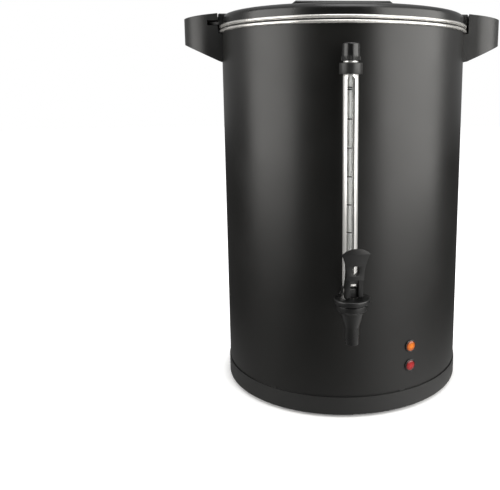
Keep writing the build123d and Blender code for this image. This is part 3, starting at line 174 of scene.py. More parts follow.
soft_box("left_box", azimuth=-68, distance=1.5, height=0.5, width=1.3, tall=1.5, watts=22, colour=warm_white)
soft_box("right_box", azimuth=61, distance=1.5, height=0.5, width=1.9, tall=1.5, watts=41, colour=warm_white)
soft_box("top_box", azimuth=10, distance=0.9, height=1.9, width=1.2, tall=1.2, watts=14, colour=plain_white)

# %% [markdown]
# Shaders are small networks of nodes. One call keeps them short: it adds a node, feeds its inputs with
# sockets or plain values, and hands back the node's outputs.


# %% Short calls for shader nodes
def shader_tree(owner):
    """The node tree of a material or a world, emptied."""
    owner.use_nodes = True
    owner.node_tree.nodes.clear()
    return owner.node_tree


def feed(socket, value):
    """Joins an input to another socket, or sets it to a plain value."""
    if isinstance(value, bpy.types.NodeSocket):
        socket.id_data.links.new(value, socket)
    else:
        socket.default_value = value


def put(tree, kind, *values, **settings):
    """Adds a node. Its inputs get the values in their order, settings and other inputs go by name."""
    node = tree.nodes.new("ShaderNode" + kind)
    for key, value in settings.items():
        if hasattr(node, key):
            setattr(node, key, value)
        else:
            feed(node.inputs[key.replace("_", " ")], value)
    for socket, value in zip(node.inputs, values):
        feed(socket, value)
    return node.outputs


def maths(tree, operation, *values):
    """The result of one operation on some values."""
    return put(tree, "Math", *values, operation=operation)[0]


def mixed(tree, kind, factor, first, second):
    """The first value at a factor of 0 and the second at 1."""
    return put(tree, "Mix", data_type=kind, Factor=factor, A=first, B=second)["Result"]


def ramp(tree, source, span, first, last, shape="LINEAR"):
    """Goes from the first value to the last while the source crosses the span."""
    return put(tree, "MapRange", source, *span, first, last, interpolation_type=shape)["Result"]


def length(tree, vector):
    """How long a vector is."""
    return put(tree, "VectorMath", vector, operation="LENGTH")["Value"]


# %% World
def studio_world():
    """White for the camera and through glass. For diffuse light a plain level, for gloss a room."""
    scene.world = bpy.data.worlds.new("studio")
    tree = shader_tree(scene.world)
    rays = put(tree, "LightPath")
    axes = put(tree, "SeparateXYZ", put(tree, "TexCoord")["Generated"])
    walls = ramp(tree, axes["Y"], room_turn, room_front, room_back, "SMOOTHSTEP")
    ceiling = ramp(tree, axes["Z"], room_rise, 0.0, room_top, "SMOOTHSTEP")
    room = maths(tree, "MAXIMUM", walls, ceiling)
    behind_glass = maths(tree, "GREATER_THAN", rays["Transmission Depth"], 0.5)
    seen_room = mixed(tree, "FLOAT", behind_glass, room, room_through)
    level = mixed(tree, "FLOAT", rays["Is Glossy Ray"], room_diffuse, seen_room)
    direct = maths(tree, "MAXIMUM", rays["Is Camera Ray"], rays["Is Transmission Ray"])
    strength = mixed(tree, "FLOAT", direct, level, 1.0)
    light = put(tree, "Background", (1.0, 1.0, 1.0, 1.0), strength)
    put(tree, "OutputWorld", light[0])


# %% Floor
def studio_floor():
    """A wide white disc. Seen directly it is lifted to white with the shadow kept, less at the urn's foot,
    where that paints a soft shadow ring. In gloss it is grey, painted lighter near the urn and in a pool
    to the right, and painted darker behind the urn.
    """
    paper = bpy.data.materials.new("white_paper")
    tree = shader_tree(paper)
    rays = put(tree, "LightPath")
    place = put(tree, "TexCoord")["Object"]
    reach = length(tree, place)
    course = put(tree, "VectorMath", place, operation="NORMALIZE")[0]
    painted_pool_way = (sin(painted_pool_turn), -cos(painted_pool_turn), 0)
    towards = put(tree, "VectorMath", course, painted_pool_way, operation="DOT_PRODUCT")["Value"]
    # painted pool of light on the floor, seen only in gloss
    pool = maths(tree, "POWER", maths(tree, "MAXIMUM", towards, 0.0), painted_pool_narrow)
    fade = ramp(tree, reach, floor_fade, floor_near, floor_far)
    grey = maths(tree, "MULTIPLY_ADD", pool, painted_pool_level, fade)
    # painted shade behind the urn, seen only in gloss
    behind = ramp(tree, put(tree, "SeparateXYZ", course)["Y"], painted_shade_turn, 1.0, painted_shade_behind)
    dimmed = maths(tree, "MULTIPLY", grey, behind)
    white = (floor_white, floor_white, floor_white, 1.0)
    matt = put(tree, "BsdfDiffuse", mixed(tree, "RGBA", rays["Is Glossy Ray"], white, dimmed))
    seen = maths(tree, "MAXIMUM", rays["Is Camera Ray"], rays["Is Transmission Ray"])
    # painted shadow ring: the lift stays low at the urn's foot and rises to white further out
    clear = ramp(tree, reach, painted_shadow_reach, painted_shadow_lift, 1.0)
    glow = put(tree, "Emission", Strength=maths(tree, "MULTIPLY", seen, clear))
    both = put(tree, "AddShader", matt[0], glow[0])
    put(tree, "OutputMaterial", both[0])
    bm = bmesh.new()
    bmesh.ops.create_circle(bm, cap_ends=True, radius=floor_radius, segments=64)
    mesh = bpy.data.meshes.new("floor")
    bm.to_mesh(mesh)
    bm.free()
    mesh.materials.append(paper)
    floor = linked("floor", mesh)


studio_world()
studio_floor()
print("studio: 3 soft boxes, white world and floor")

# %% [markdown]
# ## Finishes
# A finish is more than a colour. Each one below reads the part's own Object coordinates, so its grain
# has a real size, and lets a noise vary the colour, the roughness and the height of the surface.
# Values that are the same all over the surface are set on the shader itself.


# %% A start for every finish
finishes = {}  # the materials by their finish's name
noise_span = (0.3, 0.7)  # between these a noise has nearly all of its values


def finish(name, colour, roughness, **sockets):
    """A new finish: its node tree, and the inputs of its Principled shader."""
    finishes[name] = bpy.data.materials.new(name)
    tree = shader_tree(finishes[name])
    shader = put(tree, "BsdfPrincipled", Base_Color=(*colour, 1.0), Roughness=roughness, **sockets)[0]
    put(tree, "OutputMaterial", shader)
    return tree, shader.node.inputs


def round_axis(tree, place):
    """The angle round the Z axis, the distance from it and the height, in place of X, Y and Z."""
    axes = put(tree, "SeparateXYZ", place)
    angle = maths(tree, "ARCTAN2", axes["Y"], axes["X"])
    reach = length(tree, put(tree, "CombineXYZ", axes["X"], axes["Y"])[0])
    return put(tree, "CombineXYZ", angle, reach, axes["Z"])[0]


def grain(tree, stretch, detail=2.0, around=False):
    """Noise on Object coordinates, as many cells per metre as the stretch says along each axis."""
    place = put(tree, "TexCoord")["Object"]
    if around:
        place = round_axis(tree, place)
    scaled = put(tree, "Mapping", place, Scale=stretch)
    return put(tree, "TexNoise", scaled[0], Scale=1.0, Detail=detail)["Fac"]


def worn(tree, look, noise, dark, light, least, most):
    """Lets a noise move the colour between two shades and the roughness between two limits."""
    feed(look["Base Color"], mixed(tree, "RGBA", noise, (*dark, 1.0), (*light, 1.0)))
    feed(look["Roughness"], ramp(tree, noise, noise_span, least, most))


def relief(tree, look, noise, depth):
    """Turns a noise into surface height, in metres. Calls add up when they are chained."""
    bump = put(tree, "Bump", Strength=1.0, Distance=depth, Height=noise)[0]
    before = look["Normal"].links
    if before:
        feed(bump.node.inputs["Normal"], before[0].from_socket)
    feed(look["Normal"], bump)


# %% [markdown]
# ### Paint
# The wall has a matt baked enamel: nearly black, a little warm, with a fine grain that spreads the
# lamps into broad soft bands. The lid has the same colour but less grain, so its shoulder shines.


# %% Enamel
def enamel(name, colour, roughness, peel):
    """Baked paint: a faint cloud, a coarse orange peel and a fine one."""
    shade = [channel * 1.25 for channel in colour]
    tree, look = finish(name, colour, roughness, Specular_IOR_Level=0.5)
    worn(tree, look, grain(tree, (14, 14, 14)), colour, shade, roughness - 0.03, roughness + 0.03)
    relief(tree, look, grain(tree, (420, 420, 420)), peel)
    relief(tree, look, grain(tree, (2600, 2600, 2600), 1.0), peel / 4)


# %% [markdown]
# ### Metals
# Bright steel is metal with fine lines. On turned parts the lines run round, so the noise is stretched
# along the angle. On drawn tubes they run lengthways.


# %% Metals
def lined_steel(name, colour, roughness, metallic, stretch, less, more, around=False):
    """Bright steel with fine lines, darker in them by a tenth. Its roughness varies by less and more."""
    shade = [channel * 0.9 for channel in colour]
    tree, look = finish(name, colour, roughness, Metallic=metallic)
    lines = grain(tree, stretch, 3.0, around)
    worn(tree, look, lines, shade, colour, roughness - less, roughness + more)
    relief(tree, look, lines, 0.000004)


def plated_steel(name):
    """Zinc plating: a cloudy skin, faintly blue and straw."""
    tree, look = finish(name, (0.6, 0.6, 0.6), 0.34, Metallic=1.0)
    cloud = grain(tree, (60, 60, 60), 4.0)
    worn(tree, look, cloud, (0.52, 0.55, 0.60), (0.70, 0.67, 0.58), 0.28, 0.42)
    relief(tree, look, grain(tree, (900, 900, 900)), 0.00001)


def cast_alloy(name):
    """Heater casting: a pebbled skin from the mould."""
    tree, look = finish(name, (0.56, 0.56, 0.57), 0.5, Metallic=1.0)
    pebbles = grain(tree, (700, 700, 700), 5.0)
    worn(tree, look, pebbles, (0.42, 0.42, 0.43), (0.66, 0.66, 0.67), 0.42, 0.62)
    relief(tree, look, pebbles, 0.0001)


def bright_brass(name):
    """Contact blades: lines across, and a warm shine."""
    tree, look = finish(name, (0.78, 0.60, 0.28), 0.24, Metallic=1.0)
    lines = grain(tree, (900, 120, 900), 3.0)
    worn(tree, look, lines, (0.66, 0.48, 0.20), (0.84, 0.67, 0.34), 0.2, 0.32)


# %% [markdown]
# ### Mouldings
# The base ring and the side handles come from a spark-eroded mould, which leaves a fine matt texture.
# The tap and the gauge's cap come from a smoother mould. Rubber is the dullest of the three.


# %% Mouldings and rubber
def moulding(name, colour, roughness, cells, depth):
    """Plastic or rubber with the mould's texture, in cells per metre."""
    shade = [channel * 1.5 for channel in colour]
    tree, look = finish(name, colour, roughness, Specular_IOR_Level=0.5)
    cloud = grain(tree, (30, 30, 30), 3.0)
    worn(tree, look, cloud, colour, shade, roughness - 0.04, roughness + 0.05)
    relief(tree, look, grain(tree, (cells, cells, cells)), depth)


# %% [markdown]
# ### Glass, lenses and threads
# The gauge's tube is plain clear glass with faint lengthwise lines. The two lenses are tinted and lit
# from behind: the glow is strongest at the middle, and small cells in the lens break it up. The same
# glow is painted into the lenses' base colour: light in the middle, dark at the rim, with painted
# glints in the cells. The leads have a woven cover.

# %% Glass, lenses and threads
glow_reach = (0.001, 0.0058)  # metres from a lens's middle where its glow, painted into the base colour too, starts and ends to fall


def tube_glass(name):
    """Clear glass, a little wavy along the tube."""
    tree, look = finish(name, (0.985, 0.99, 0.985), 0.02, IOR=1.47, Transmission_Weight=1.0)
    lines = grain(tree, (500, 500, 6), 2.0)
    feed(look["Roughness"], ramp(tree, lines, noise_span, 0.0, 0.06))
    relief(tree, look, lines, 0.00002)


def lamp_lens(name, centre, deep, glow, strength):
    """A tinted lens round a centre point, in metres, with a lamp behind it. Its glow is painted into the
    base colour too: light in the middle, dark at the rim, with painted glints in small cells.
    """
    tree, look = finish(name, deep, 0.1, IOR=1.49, Emission_Strength=strength)
    middle = put(tree, "Mapping", put(tree, "TexCoord")["Object"], Location=[-value for value in centre])
    painted_glow_fall = ramp(tree, length(tree, middle[0]), glow_reach, 1.0, 0.0)
    cells = put(tree, "TexVoronoi", middle[0], Scale=620.0)["Distance"]
    painted_glints = ramp(tree, cells, (0.0, 0.6), 1.15, 0.55)
    # painted glow and rim shade: emission and base colour alike go from dark at the rim to light in the
    # middle
    colour = mixed(tree, "RGBA", maths(tree, "MULTIPLY", painted_glow_fall, painted_glints), (*deep, 1.0), (*glow, 1.0))
    feed(look["Emission Color"], colour)
    feed(look["Base Color"], colour)
    relief(tree, look, cells, 0.00006)


def woven_jacket(name):
    """The heat-proof lead cover: two sets of crossed threads."""
    tree, look = finish(name, (0.72, 0.68, 0.6), 0.8)
    place = put(tree, "TexCoord")["Object"]
    threads = []
    for direction in ("X", "Z"):
        wave = put(tree, "TexWave", place, bands_direction=direction, Scale=420.0, Distortion=1.5)
        threads.append(wave["Fac"])
    cross = maths(tree, "MULTIPLY", *threads)
    feed(look["Base Color"], mixed(tree, "RGBA", cross, (0.55, 0.50, 0.42, 1.0), (0.82, 0.79, 0.72, 1.0)))
    relief(tree, look, cross, 0.0001)


# %% [markdown]
# ## Giving each part its finish
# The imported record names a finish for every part. Each call below makes one finish of that name, and
# one loop puts them on all parts. Pieces built later take theirs from the same dictionary.

# %% The finishes of this urn
lens_front = 2.2  # from the wall out to just under the top of a lens's dome


def lens_face(node):
    """The middle of a lens's front, in metres. The lens looks straight out of the wall."""
    middle = (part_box(node)[0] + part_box(node)[1]) / 2
    out = Vector((middle.x, middle.y, 0)).normalized()
    return out * (wall_radius + lens_front) * MM + Vector((0, 0, middle.z))


amber_centre = lens_face("amber_lens")
red_centre = lens_face("red_lens")
enamel("body_paint", (0.0026, 0.0025, 0.0021), 0.36, 0.00003)
enamel("lid_paint", (0.005, 0.005, 0.0048), 0.27, 0.00001)
lined_steel("stainless", (0.80, 0.785, 0.75), 0.24, 0.8, (3.0, 1500.0, 1500.0), 0.05, 0.07, around=True)
lined_steel("polished_steel", (0.92, 0.91, 0.89), 0.3, 0.75, (700, 700, 6), 0.03, 0.04)
plated_steel("zinc_steel")
moulding("black_plastic", (0.007, 0.007, 0.0068), 0.42, 1900, 0.00003)
moulding("gloss_black_plastic", (0.004, 0.004, 0.004), 0.27, 260, 0.00001)
moulding("black_rubber", (0.012, 0.012, 0.012), 0.72, 900, 0.00003)
tube_glass("clear_glass")
lamp_lens("amber_lens", amber_centre, (0.17, 0.028, 0.001), (0.63, 0.165, 0.008), 0.5)
lamp_lens("red_lens", red_centre, (0.1, 0.001, 0.001), (0.36, 0.011, 0.014), 0.3)
bright_brass("brass")
cast_alloy("cast_aluminium")
moulding("white_plastic", (0.55, 0.54, 0.50), 0.5, 1400, 0.00002)
woven_jacket("lead_jacket")
slot_of = {part["node"]: part["material_slot"] for part in frame["record"]["subparts"]}
for node, solid in frame["nodes"].items():
    solid.material_slots[0].material = finishes[slot_of[node]]
print("finishes:", len(finishes), "on", len(slot_of), "parts")

# %% [markdown]
# ## Tools for pieces
# Most of the urn is turned, so most of its finer pieces are an outline spun round an axis. Each corner
# of an outline gets a real radius: a rounded edge catches the lamps, while a sharp one looks drawn.


# %% Outlines with rounded corners
def rounded(corners, steps=5):
    """A closed outline in mm. A corner is (across, up, radius); a radius of 0 leaves it sharp."""
    path = []
    for index, (across, up, radius) in enumerate(corners):
        here = Vector((across, up))
        if radius == 0:
            path.append(here)
            continue
        before = (Vector(corners[index - 1][:2]) - here).normalized()
        after = (Vector(corners[(index + 1) % len(corners)][:2]) - here).normalized()
        half = before.angle(after) / 2
        middle = here + (before + after).normalized() * radius / sin(half)
        start = here + before * radius / tan(half) - middle
        stop = here + after * radius / tan(half) - middle
        first = atan2(start.y, start.x)
        sweep = (atan2(stop.y, stop.x) - first + pi) % (2 * pi) - pi
        for step in range(steps + 1):
            angle = first + sweep * step / steps
            path.append(middle + Vector((cos(angle), sin(angle))) * radius)
    return path


# %% [markdown]
# An outline is spun in plain mesh code. `place` is a matrix that carries the spun shape from its own
# axis to where the urn has it, so the same call makes an upright cap and a lens that looks outwards.


# %% Spinning, placing and finishing a mesh
upright = Matrix.Identity(4)
facets_wide = 256  # facets round a turned piece, from the urn's own width down to a screw
facets_usual = 128
facets_light = 64
facets_screw = 48
crease = radians(35)  # edges above this angle are shaded sharp


def over(y):
    """A place on the urn's middle line, y in front of or behind its axis."""
    return Matrix.Translation((0, y, 0))


def on_wall(angle, height, radius):
    """A place on a round wall. Its z axis points outwards and its y axis up. Angle 0 is the tap's side."""
    turn = radians(angle)
    out = Vector((sin(turn), -cos(turn), 0))
    side = Vector((cos(turn), sin(turn), 0))
    place = Matrix((side, Vector((0, 0, 1)), out)).transposed().to_4x4()
    place.translation = out * radius + Vector((0, 0, height))
    return place


def tidy_mesh(name, bm):
    """Closes the seams and poles of a mesh and turns its faces outwards."""
    bmesh.ops.remove_doubles(bm, verts=bm.verts, dist=0.000001)
    bmesh.ops.dissolve_degenerate(bm, edges=bm.edges, dist=0.0000001)
    bmesh.ops.recalc_face_normals(bm, faces=bm.faces)
    mesh = bpy.data.meshes.new(name)
    bm.to_mesh(mesh)
    bm.free()
    return mesh


def spin(name, outline, place=upright, facets=facets_usual):
    """A closed solid of revolution from (radius, height) points in mm."""
    bm = bmesh.new()
    rings = []
    for index in range(facets):
        angle = 2 * pi * index / facets
        ring = [Vector((point.x * sin(angle), -point.x * cos(angle), point.y)) for point in outline]
        rings.append([bm.verts.new((place @ corner) * MM) for corner in ring])
    for index, ring in enumerate(rings):
        following = rings[(index + 1) % facets]
        for low_end in range(len(outline)):
            high_end = (low_end + 1) % len(outline)
            if outline[low_end].x or outline[high_end].x:
                bm.faces.new((ring[low_end], following[low_end], following[high_end], ring[high_end]))
    return tidy_mesh(name, bm)


def bar(name, outline, place, depth):
    """A straight bar: a closed outline in mm, pushed along the place's z axis."""
    bm = bmesh.new()
    ends = []
    for level in (0.0, depth):
        ends.append([bm.verts.new((place @ Vector((point.x, point.y, level))) * MM) for point in outline])
    bm.faces.new(ends[0])
    bm.faces.new(ends[1])
    for index in range(len(outline)):
        after = (index + 1) % len(outline)
        bm.faces.new((ends[0][index], ends[0][after], ends[1][after], ends[1][index]))
    return tidy_mesh(name, bm)


def settle(name, mesh, slot, body, *stands_for):
    """Gives a mesh its finish and lets it ride on its body, in place of the parts it stands for."""
    mesh.materials.clear()
    mesh.materials.append(finishes[slot])
    mesh.shade_smooth()
    mesh.set_sharp_from_angle(angle=crease)
    piece = linked(name, mesh)
    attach(piece, body)
    if stands_for:
        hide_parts(*stands_for)
    print(name, len(mesh.polygons), "faces")
    return piece


# %% [markdown]
# Modifiers and Booleans work on objects. A mesh borrows an object for them and comes back as a plain
# mesh, with the work done, so no modifier stays on a piece.


# %% Modifiers and Booleans on a mesh
def applied(holder):
    """The mesh that an object's modifiers make. The object goes."""
    graph = bpy.context.evaluated_depsgraph_get()
    done = bpy.data.meshes.new_from_object(holder.evaluated_get(graph))
    holder.modifiers.clear()
    bpy.data.objects.remove(holder)
    return done


def evaluated(mesh, *modifiers):
    """The mesh after some modifiers, each given as its type and its settings."""
    holder = linked(mesh.name, mesh)
    for kind, settings in modifiers:
        modifier = holder.modifiers.new(kind.lower(), kind)
        for key, value in settings.items():
            setattr(modifier, key, value)
    return applied(holder)


def combined(mesh, other, operation):
    """The Boolean of two meshes."""
    partner = linked("partner", other)
    settings = {"object": partner, "operation": operation, "solver": "EXACT"}
    done = evaluated(mesh, ("BOOLEAN", settings))
    bpy.data.objects.remove(partner)
    return done


def cut(mesh, cutter):
    """The mesh less the cutter."""
    return combined(mesh, cutter, "DIFFERENCE")


# %% Outlines in common use
def sharp(*corners):
    """An outline of plain corners, each (across, up)."""
    return [Vector(corner) for corner in corners]


def box_outline(width, height, radius=0.0):
    """A rectangle round the origin with round corners."""
    x, y = width / 2, height / 2
    return rounded([(x, y, radius), (-x, y, radius), (-x, -y, radius), (x, -y, radius)])


def tube_outline(outer, inner, foot, head, edge=0.15):
    """The section of a straight tube, with its four edges just broken."""
    return rounded([(inner, foot, edge), (outer, foot, edge), (outer, head, edge), (inner, head, edge)], 2)


def rod_outline(radius, start, end):
    """The section of a plain rod."""
    return sharp((0, start), (radius, start), (radius, end), (0, end))


# %% [markdown]
# ## Lid and tank
# The two bright beads are the rolled rims of the tank and of the lid's pan. A press shop makes them by
# turning the sheet's edge over, so they are full round outside. Spun in one go with their sheet, they
# stay smooth under the lamps, where a coarse bead would break the highlight into steps.

# %% The lid's pan
pan_wall = 0.8
pan_top = bead_top - 0.5
skirt_radius = 143.3
skirt_bottom = low("lid_pan").z
bead_round = 1.8
bead_bottom = low("lid_seal").z + 0.9
seal_room = 0.3  # between the seal and its channel
channel_out = high("lid_seal").x + seal_room
channel_in = skirt_radius + 4.0
channel_top = high("lid_seal").z + seal_room
pan_outline = rounded(
    [
        (0, pan_top, 0),
        (skirt_radius - pan_wall, pan_top, 0),
        (skirt_radius - 0.4, bead_top, 0.3),
        (rim_radius, bead_top, bead_round),
        (rim_radius, bead_bottom, bead_round),
        (channel_out, bead_bottom, 0),
        (channel_out, channel_top, 0),
        (channel_in, channel_top, 0),
        (channel_in, bead_bottom, 0),
        (skirt_radius, bead_bottom, 0),
        (skirt_radius, skirt_bottom, 0.3),
        (skirt_radius - pan_wall, skirt_bottom, 0.3),
        (skirt_radius - pan_wall, pan_top - pan_wall, 1.2),
        (0, pan_top - pan_wall, 0),
    ]
)
pan = spin("pan", pan_outline, facets=facets_wide)
settle("lid_pan_pressed", pan, "stainless", "lid", "lid_pan")

# %% [markdown]
# The lid's painted cover is pressed too: a dish for the fingers, a low dome, and a round shoulder. Its
# inner line follows the outer one, a little less than the sheet's thickness away where it is steep.

# %% The lid's cover
cover_radius = high("lid_cover").x
cover_bottom = low("lid_cover").z
cover_wall = 1.8
dome_edge = 464.6
shoulder = 458.6
dish_floor = 449.0
dish_foot = 54.0
dish_mouth = 60.0
dish_side = 1.2
cover_outline = rounded(
    [
        (0, dish_floor, 0),
        (dish_foot, dish_floor, 4),
        (dish_mouth, dome_edge, 3),
        (cover_radius, shoulder, 7),
        (cover_radius, cover_bottom, 0.4),
        (cover_radius - cover_wall, cover_bottom, 0),
        (cover_radius - cover_wall, shoulder - 1.7, 5.2),
        (dish_mouth + dish_side, dome_edge - 1.9, 1.2),
        (dish_foot + dish_side, dish_floor - cover_wall, 5.8),
        (0, dish_floor - cover_wall, 0),
    ],
    steps=8,
)
cover = spin("cover", cover_outline, facets=facets_wide)
settle("lid_cover_pressed", cover, "lid_paint", "lid", "lid_cover")

# %% [markdown]
# The tank is one deep-drawn pot with a well for the pump's foot. Its shank hole is cut with a Boolean.

# %% The tank
tank_radius = 145.0
tank_wall = 0.8
tank_floor = 129.0
well_radius = 17.0
well_floor = 122.0
rim_flat = rim_top - 0.3
rim_bottom = wall_top
rim_round = 1.6
tank_outline = rounded(
    [
        (0, well_floor, 0),
        (well_radius, well_floor, 2),
        (well_radius, tank_floor, 2),
        (tank_radius, tank_floor, 3),
        (tank_radius, rim_flat, 0.3),
        (rim_radius, rim_flat, rim_round),
        (rim_radius, rim_bottom, rim_round),
        (tank_radius + tank_wall, rim_bottom, 0),
        (tank_radius + tank_wall, tank_floor - tank_wall, 3.8),
        (well_radius + tank_wall, tank_floor - tank_wall, 1.2),
        (well_radius + tank_wall, well_floor - tank_wall, 2.8),
        (0, well_floor - tank_wall, 0),
    ]
)
shank_line = on_wall(0, mid("tap_shank", "z"), 0)
hole_radius = high("tap_shank").x + 0.3
hole_span = (120.0, 160.0)  # from inside the tank to outside it
hole = spin("hole", rod_outline(hole_radius, *hole_span), shank_line, facets_screw)
tank = cut(spin("tank", tank_outline, facets=facets_wide), hole)
settle("tank_drawn", tank, "stainless", "root", "inner_tank")

# %% [markdown]
# ## Level gauge
# A glass tube stands in a steel shield with a sight slot. A holder grips the shield's top, and a neck
# carries the screw cap. The neck has a small bead, which is the bright ring that shows under the cap.

# %% Shield and glass
gauge_line = over(gauge_y)
shield_out = 8.0
shield_in = 7.2
shield_foot = low("gauge_shield").z
shield_head = high("gauge_shield").z
shield = spin("shield", tube_outline(shield_out, shield_in, shield_foot, shield_head), gauge_line)
slot_width = 8.2
slot_foot = shield_foot + 8.0
slot_head = shield_head - 1.6
slot_round = slot_width / 2 - 0.01
slot_depth = 12.0  # from the gauge's line forwards, through the front of the shield alone
slot_place = on_wall(0, (slot_foot + slot_head) / 2, -gauge_y)
slot = bar("slot", box_outline(slot_width, slot_head - slot_foot, slot_round), slot_place, slot_depth)
settle("gauge_shield_tube", cut(shield, slot), "polished_steel", "root", "gauge_shield")
glass_out = 5.0
glass_in = 3.8
glass_foot = low("gauge_glass").z
glass_head = high("gauge_glass").z
glass = spin("glass", tube_outline(glass_out, glass_in, glass_foot, glass_head), gauge_line)
settle("gauge_glass_tube", glass, "clear_glass", "root", "gauge_glass")

# %% The gauge's neck
neck_in = glass_out + 0.2
neck_out = high("gauge_neck").x
neck_foot = shield_head + 0.2
neck_head = high("gauge_neck").z
holder_top = high("gauge_holder").z
ring_out = neck_out + 0.7
ring_foot = holder_top + 0.1
ring_head = holder_top + 1.9
neck_outline = rounded(
    [
        (neck_in, neck_foot, 0.2),
        (neck_out, neck_foot, 0.2),
        (neck_out, ring_foot, 0),
        (ring_out, ring_foot, 0.5),
        (ring_out, ring_head, 0.8),
        (neck_out, ring_head, 0),
        (neck_out, neck_head, 0.2),
        (neck_in, neck_head, 0.2),
    ]
)
neck = spin("neck", neck_outline, gauge_line)
settle("gauge_neck_turned", neck, "polished_steel", "root", "gauge_neck")

# %% [markdown]
# ### Repeating a shape with Geometry Nodes
# One small node group serves every row and ring on the urn. It takes a mesh as its start, sets copies
# on a circle or along a line, and turns the copies into real faces.


# %% A row and a ring
def repeater(ring):
    """A node group that repeats the incoming mesh: round the Z axis if ring, else along a step."""
    tree = bpy.data.node_groups.new("ring" if ring else "row", "GeometryNodeTree")
    tree.is_modifier = True
    kinds = {"Geometry": "Geometry", "Count": "Int", "Step": "Vector", "Finish": "Material"}
    for name, kind in kinds.items():
        tree.interface.new_socket(name, in_out="INPUT", socket_type="NodeSocket" + kind)
    tree.interface.new_socket("Geometry", in_out="OUTPUT", socket_type="NodeSocketGeometry")
    add = tree.nodes.new
    join = tree.links.new
    source = add("NodeGroupInput")
    target = add("NodeGroupOutput")
    copies = add("GeometryNodeDuplicateElements")
    copies.domain = "INSTANCE"
    single = add("GeometryNodeGeometryToInstance")
    scaled = add("ShaderNodeVectorMath")
    scaled.operation = "SCALE"
    real = add("GeometryNodeRealizeInstances")
    painted = add("GeometryNodeSetMaterial")
    moved = add("GeometryNodeRotateInstances" if ring else "GeometryNodeTranslateInstances")
    moved.inputs["Local Space"].default_value = False
    join(source.outputs["Geometry"], single.inputs[0])
    join(single.outputs[0], copies.inputs["Geometry"])
    join(source.outputs["Count"], copies.inputs["Amount"])
    join(source.outputs["Step"], scaled.inputs[0])
    join(copies.outputs["Duplicate Index"], scaled.inputs["Scale"])
    join(copies.outputs["Geometry"], moved.inputs["Instances"])
    join(scaled.outputs[0], moved.inputs["Rotation" if ring else "Translation"])
    join(moved.outputs[0], real.inputs[0])
    join(real.outputs[0], painted.inputs["Geometry"])
    join(source.outputs["Finish"], painted.inputs["Material"])
    join(painted.outputs[0], target.inputs[0])
    return tree


def repeated(mesh, tree, count, step, slot):
    """The mesh repeated by a node group, as a plain mesh. The step is in metres or radians."""
    given = {"Count": count, "Step": step, "Finish": finishes[slot]}
    holder = linked(mesh.name, mesh)
    modifier = holder.modifiers.new("repeat", "NODES")
    modifier.node_group = tree
    for item in tree.interface.items_tree:
        if item.in_out == "INPUT" and item.name in given:
            modifier[item.identifier] = given[item.name]
    return applied(holder)


ring_of = repeater(ring=True)
row_of = repeater(ring=False)

# %% [markdown]
# The cap is turned, with a knurled band for the fingers. One rib is modelled and repeated round it.

# %% The gauge's cap
cap_foot = low("gauge_cap").z
cap_head = high("gauge_cap").z
cap_knurl = high("gauge_cap").x
cap_side = (9.25, 8.95)  # the radius above the knurled band and at the top
cap_bore = neck_out + 0.1
cap_roof = glass_head + 2.0
band_tall = 4.6
cap_outline = rounded(
    [
        (0, cap_roof, 0),
        (cap_bore, cap_roof, 0),
        (cap_bore, cap_foot, 0.2),
        (cap_knurl - 0.75, cap_foot, 0.3),
        (cap_knurl - 0.45, cap_foot + band_tall, 0.4),
        (cap_side[0], cap_foot + band_tall + 0.25, 0.2),
        (cap_side[1], cap_head, 1.6),
        (0, cap_head, 0),
    ],
    steps=6,
)
cap = spin("cap", cap_outline, gauge_line)
settle("gauge_cap_turned", cap, "gloss_black_plastic", "root", "gauge_cap")

# %% The ribs of its band
rib_count = 40
rib_foot = cap_foot + 0.35
rib_tall = band_tall - 0.8
rib_shape = rounded([(-0.42, -0.9, 0.1), (0.42, -0.9, 0.1), (0.3, 0.0, 0.25), (-0.3, 0.0, 0.25)], steps=3)
rib = bar("rib", rib_shape, Matrix.Translation((0, cap_knurl, rib_foot)), rib_tall)
ribs = repeated(rib, ring_of, rib_count, (0.0, 0.0, 2 * pi / rib_count), "gloss_black_plastic")
ribs.transform(Matrix.Translation(gauge_line.translation * MM))
settle("gauge_cap_ribs", ribs, "gloss_black_plastic", "root")

# %% [markdown]
# The scale is printed on the glass: a mark for each two litres, and a double one for the full urn. One
# mark is a thin strip that follows the tube's curve, and a row of them is a step apart.

# %% The gauge's marks
mark_thick = 1.2
mark_lift = (0.02, 0.08)  # its inner and its outer face, outwards from the glass
mark_turn = (-60, 14)  # where it starts and ends, in degrees from the front
mark_facets = 16
litre_first = 191.2
litre_step = 29.8
litre_count = 6
full_first = 370.1
full_step = 2.0
full_count = 2


def mark(name, middle):
    """A printed strip on the glass, most of it left of the front."""
    bm = bmesh.new()
    rings = []
    for step in range(mark_facets + 1):
        angle = radians(mark_turn[0] + (mark_turn[1] - mark_turn[0]) * step / mark_facets)
        ring = []
        for lift, height in ((0, -0.5), (1, -0.5), (1, 0.5), (0, 0.5)):
            reach = glass_out + mark_lift[lift]
            ring.append((reach * sin(angle), gauge_y - reach * cos(angle), middle + height * mark_thick))
        rings.append([bm.verts.new(Vector(corner) * MM) for corner in ring])
    for before, after in zip(rings, rings[1:]):
        for index in range(4):
            other = (index + 1) % 4
            bm.faces.new((before[index], after[index], after[other], before[other]))
    bm.faces.new(rings[0])
    bm.faces.new(rings[-1])
    return tidy_mesh(name, bm)


def mark_row(name, first, step, count):
    """Equal marks, one above the other, as one piece."""
    row = repeated(mark(name, first), row_of, count, (0.0, 0.0, step * MM), "gloss_black_plastic")
    settle(name, row, "gloss_black_plastic", "root")


mark_row("gauge_litre_marks", litre_first, litre_step, litre_count)
mark_row("gauge_full_marks", full_first, full_step, full_count)

# %% [markdown]
# ## Tap
# The body is turned from one bar: spout, cone, collar and band. The boss of the shank joins it by a
# Boolean, and the bore goes through both. The bonnet screws in from above.

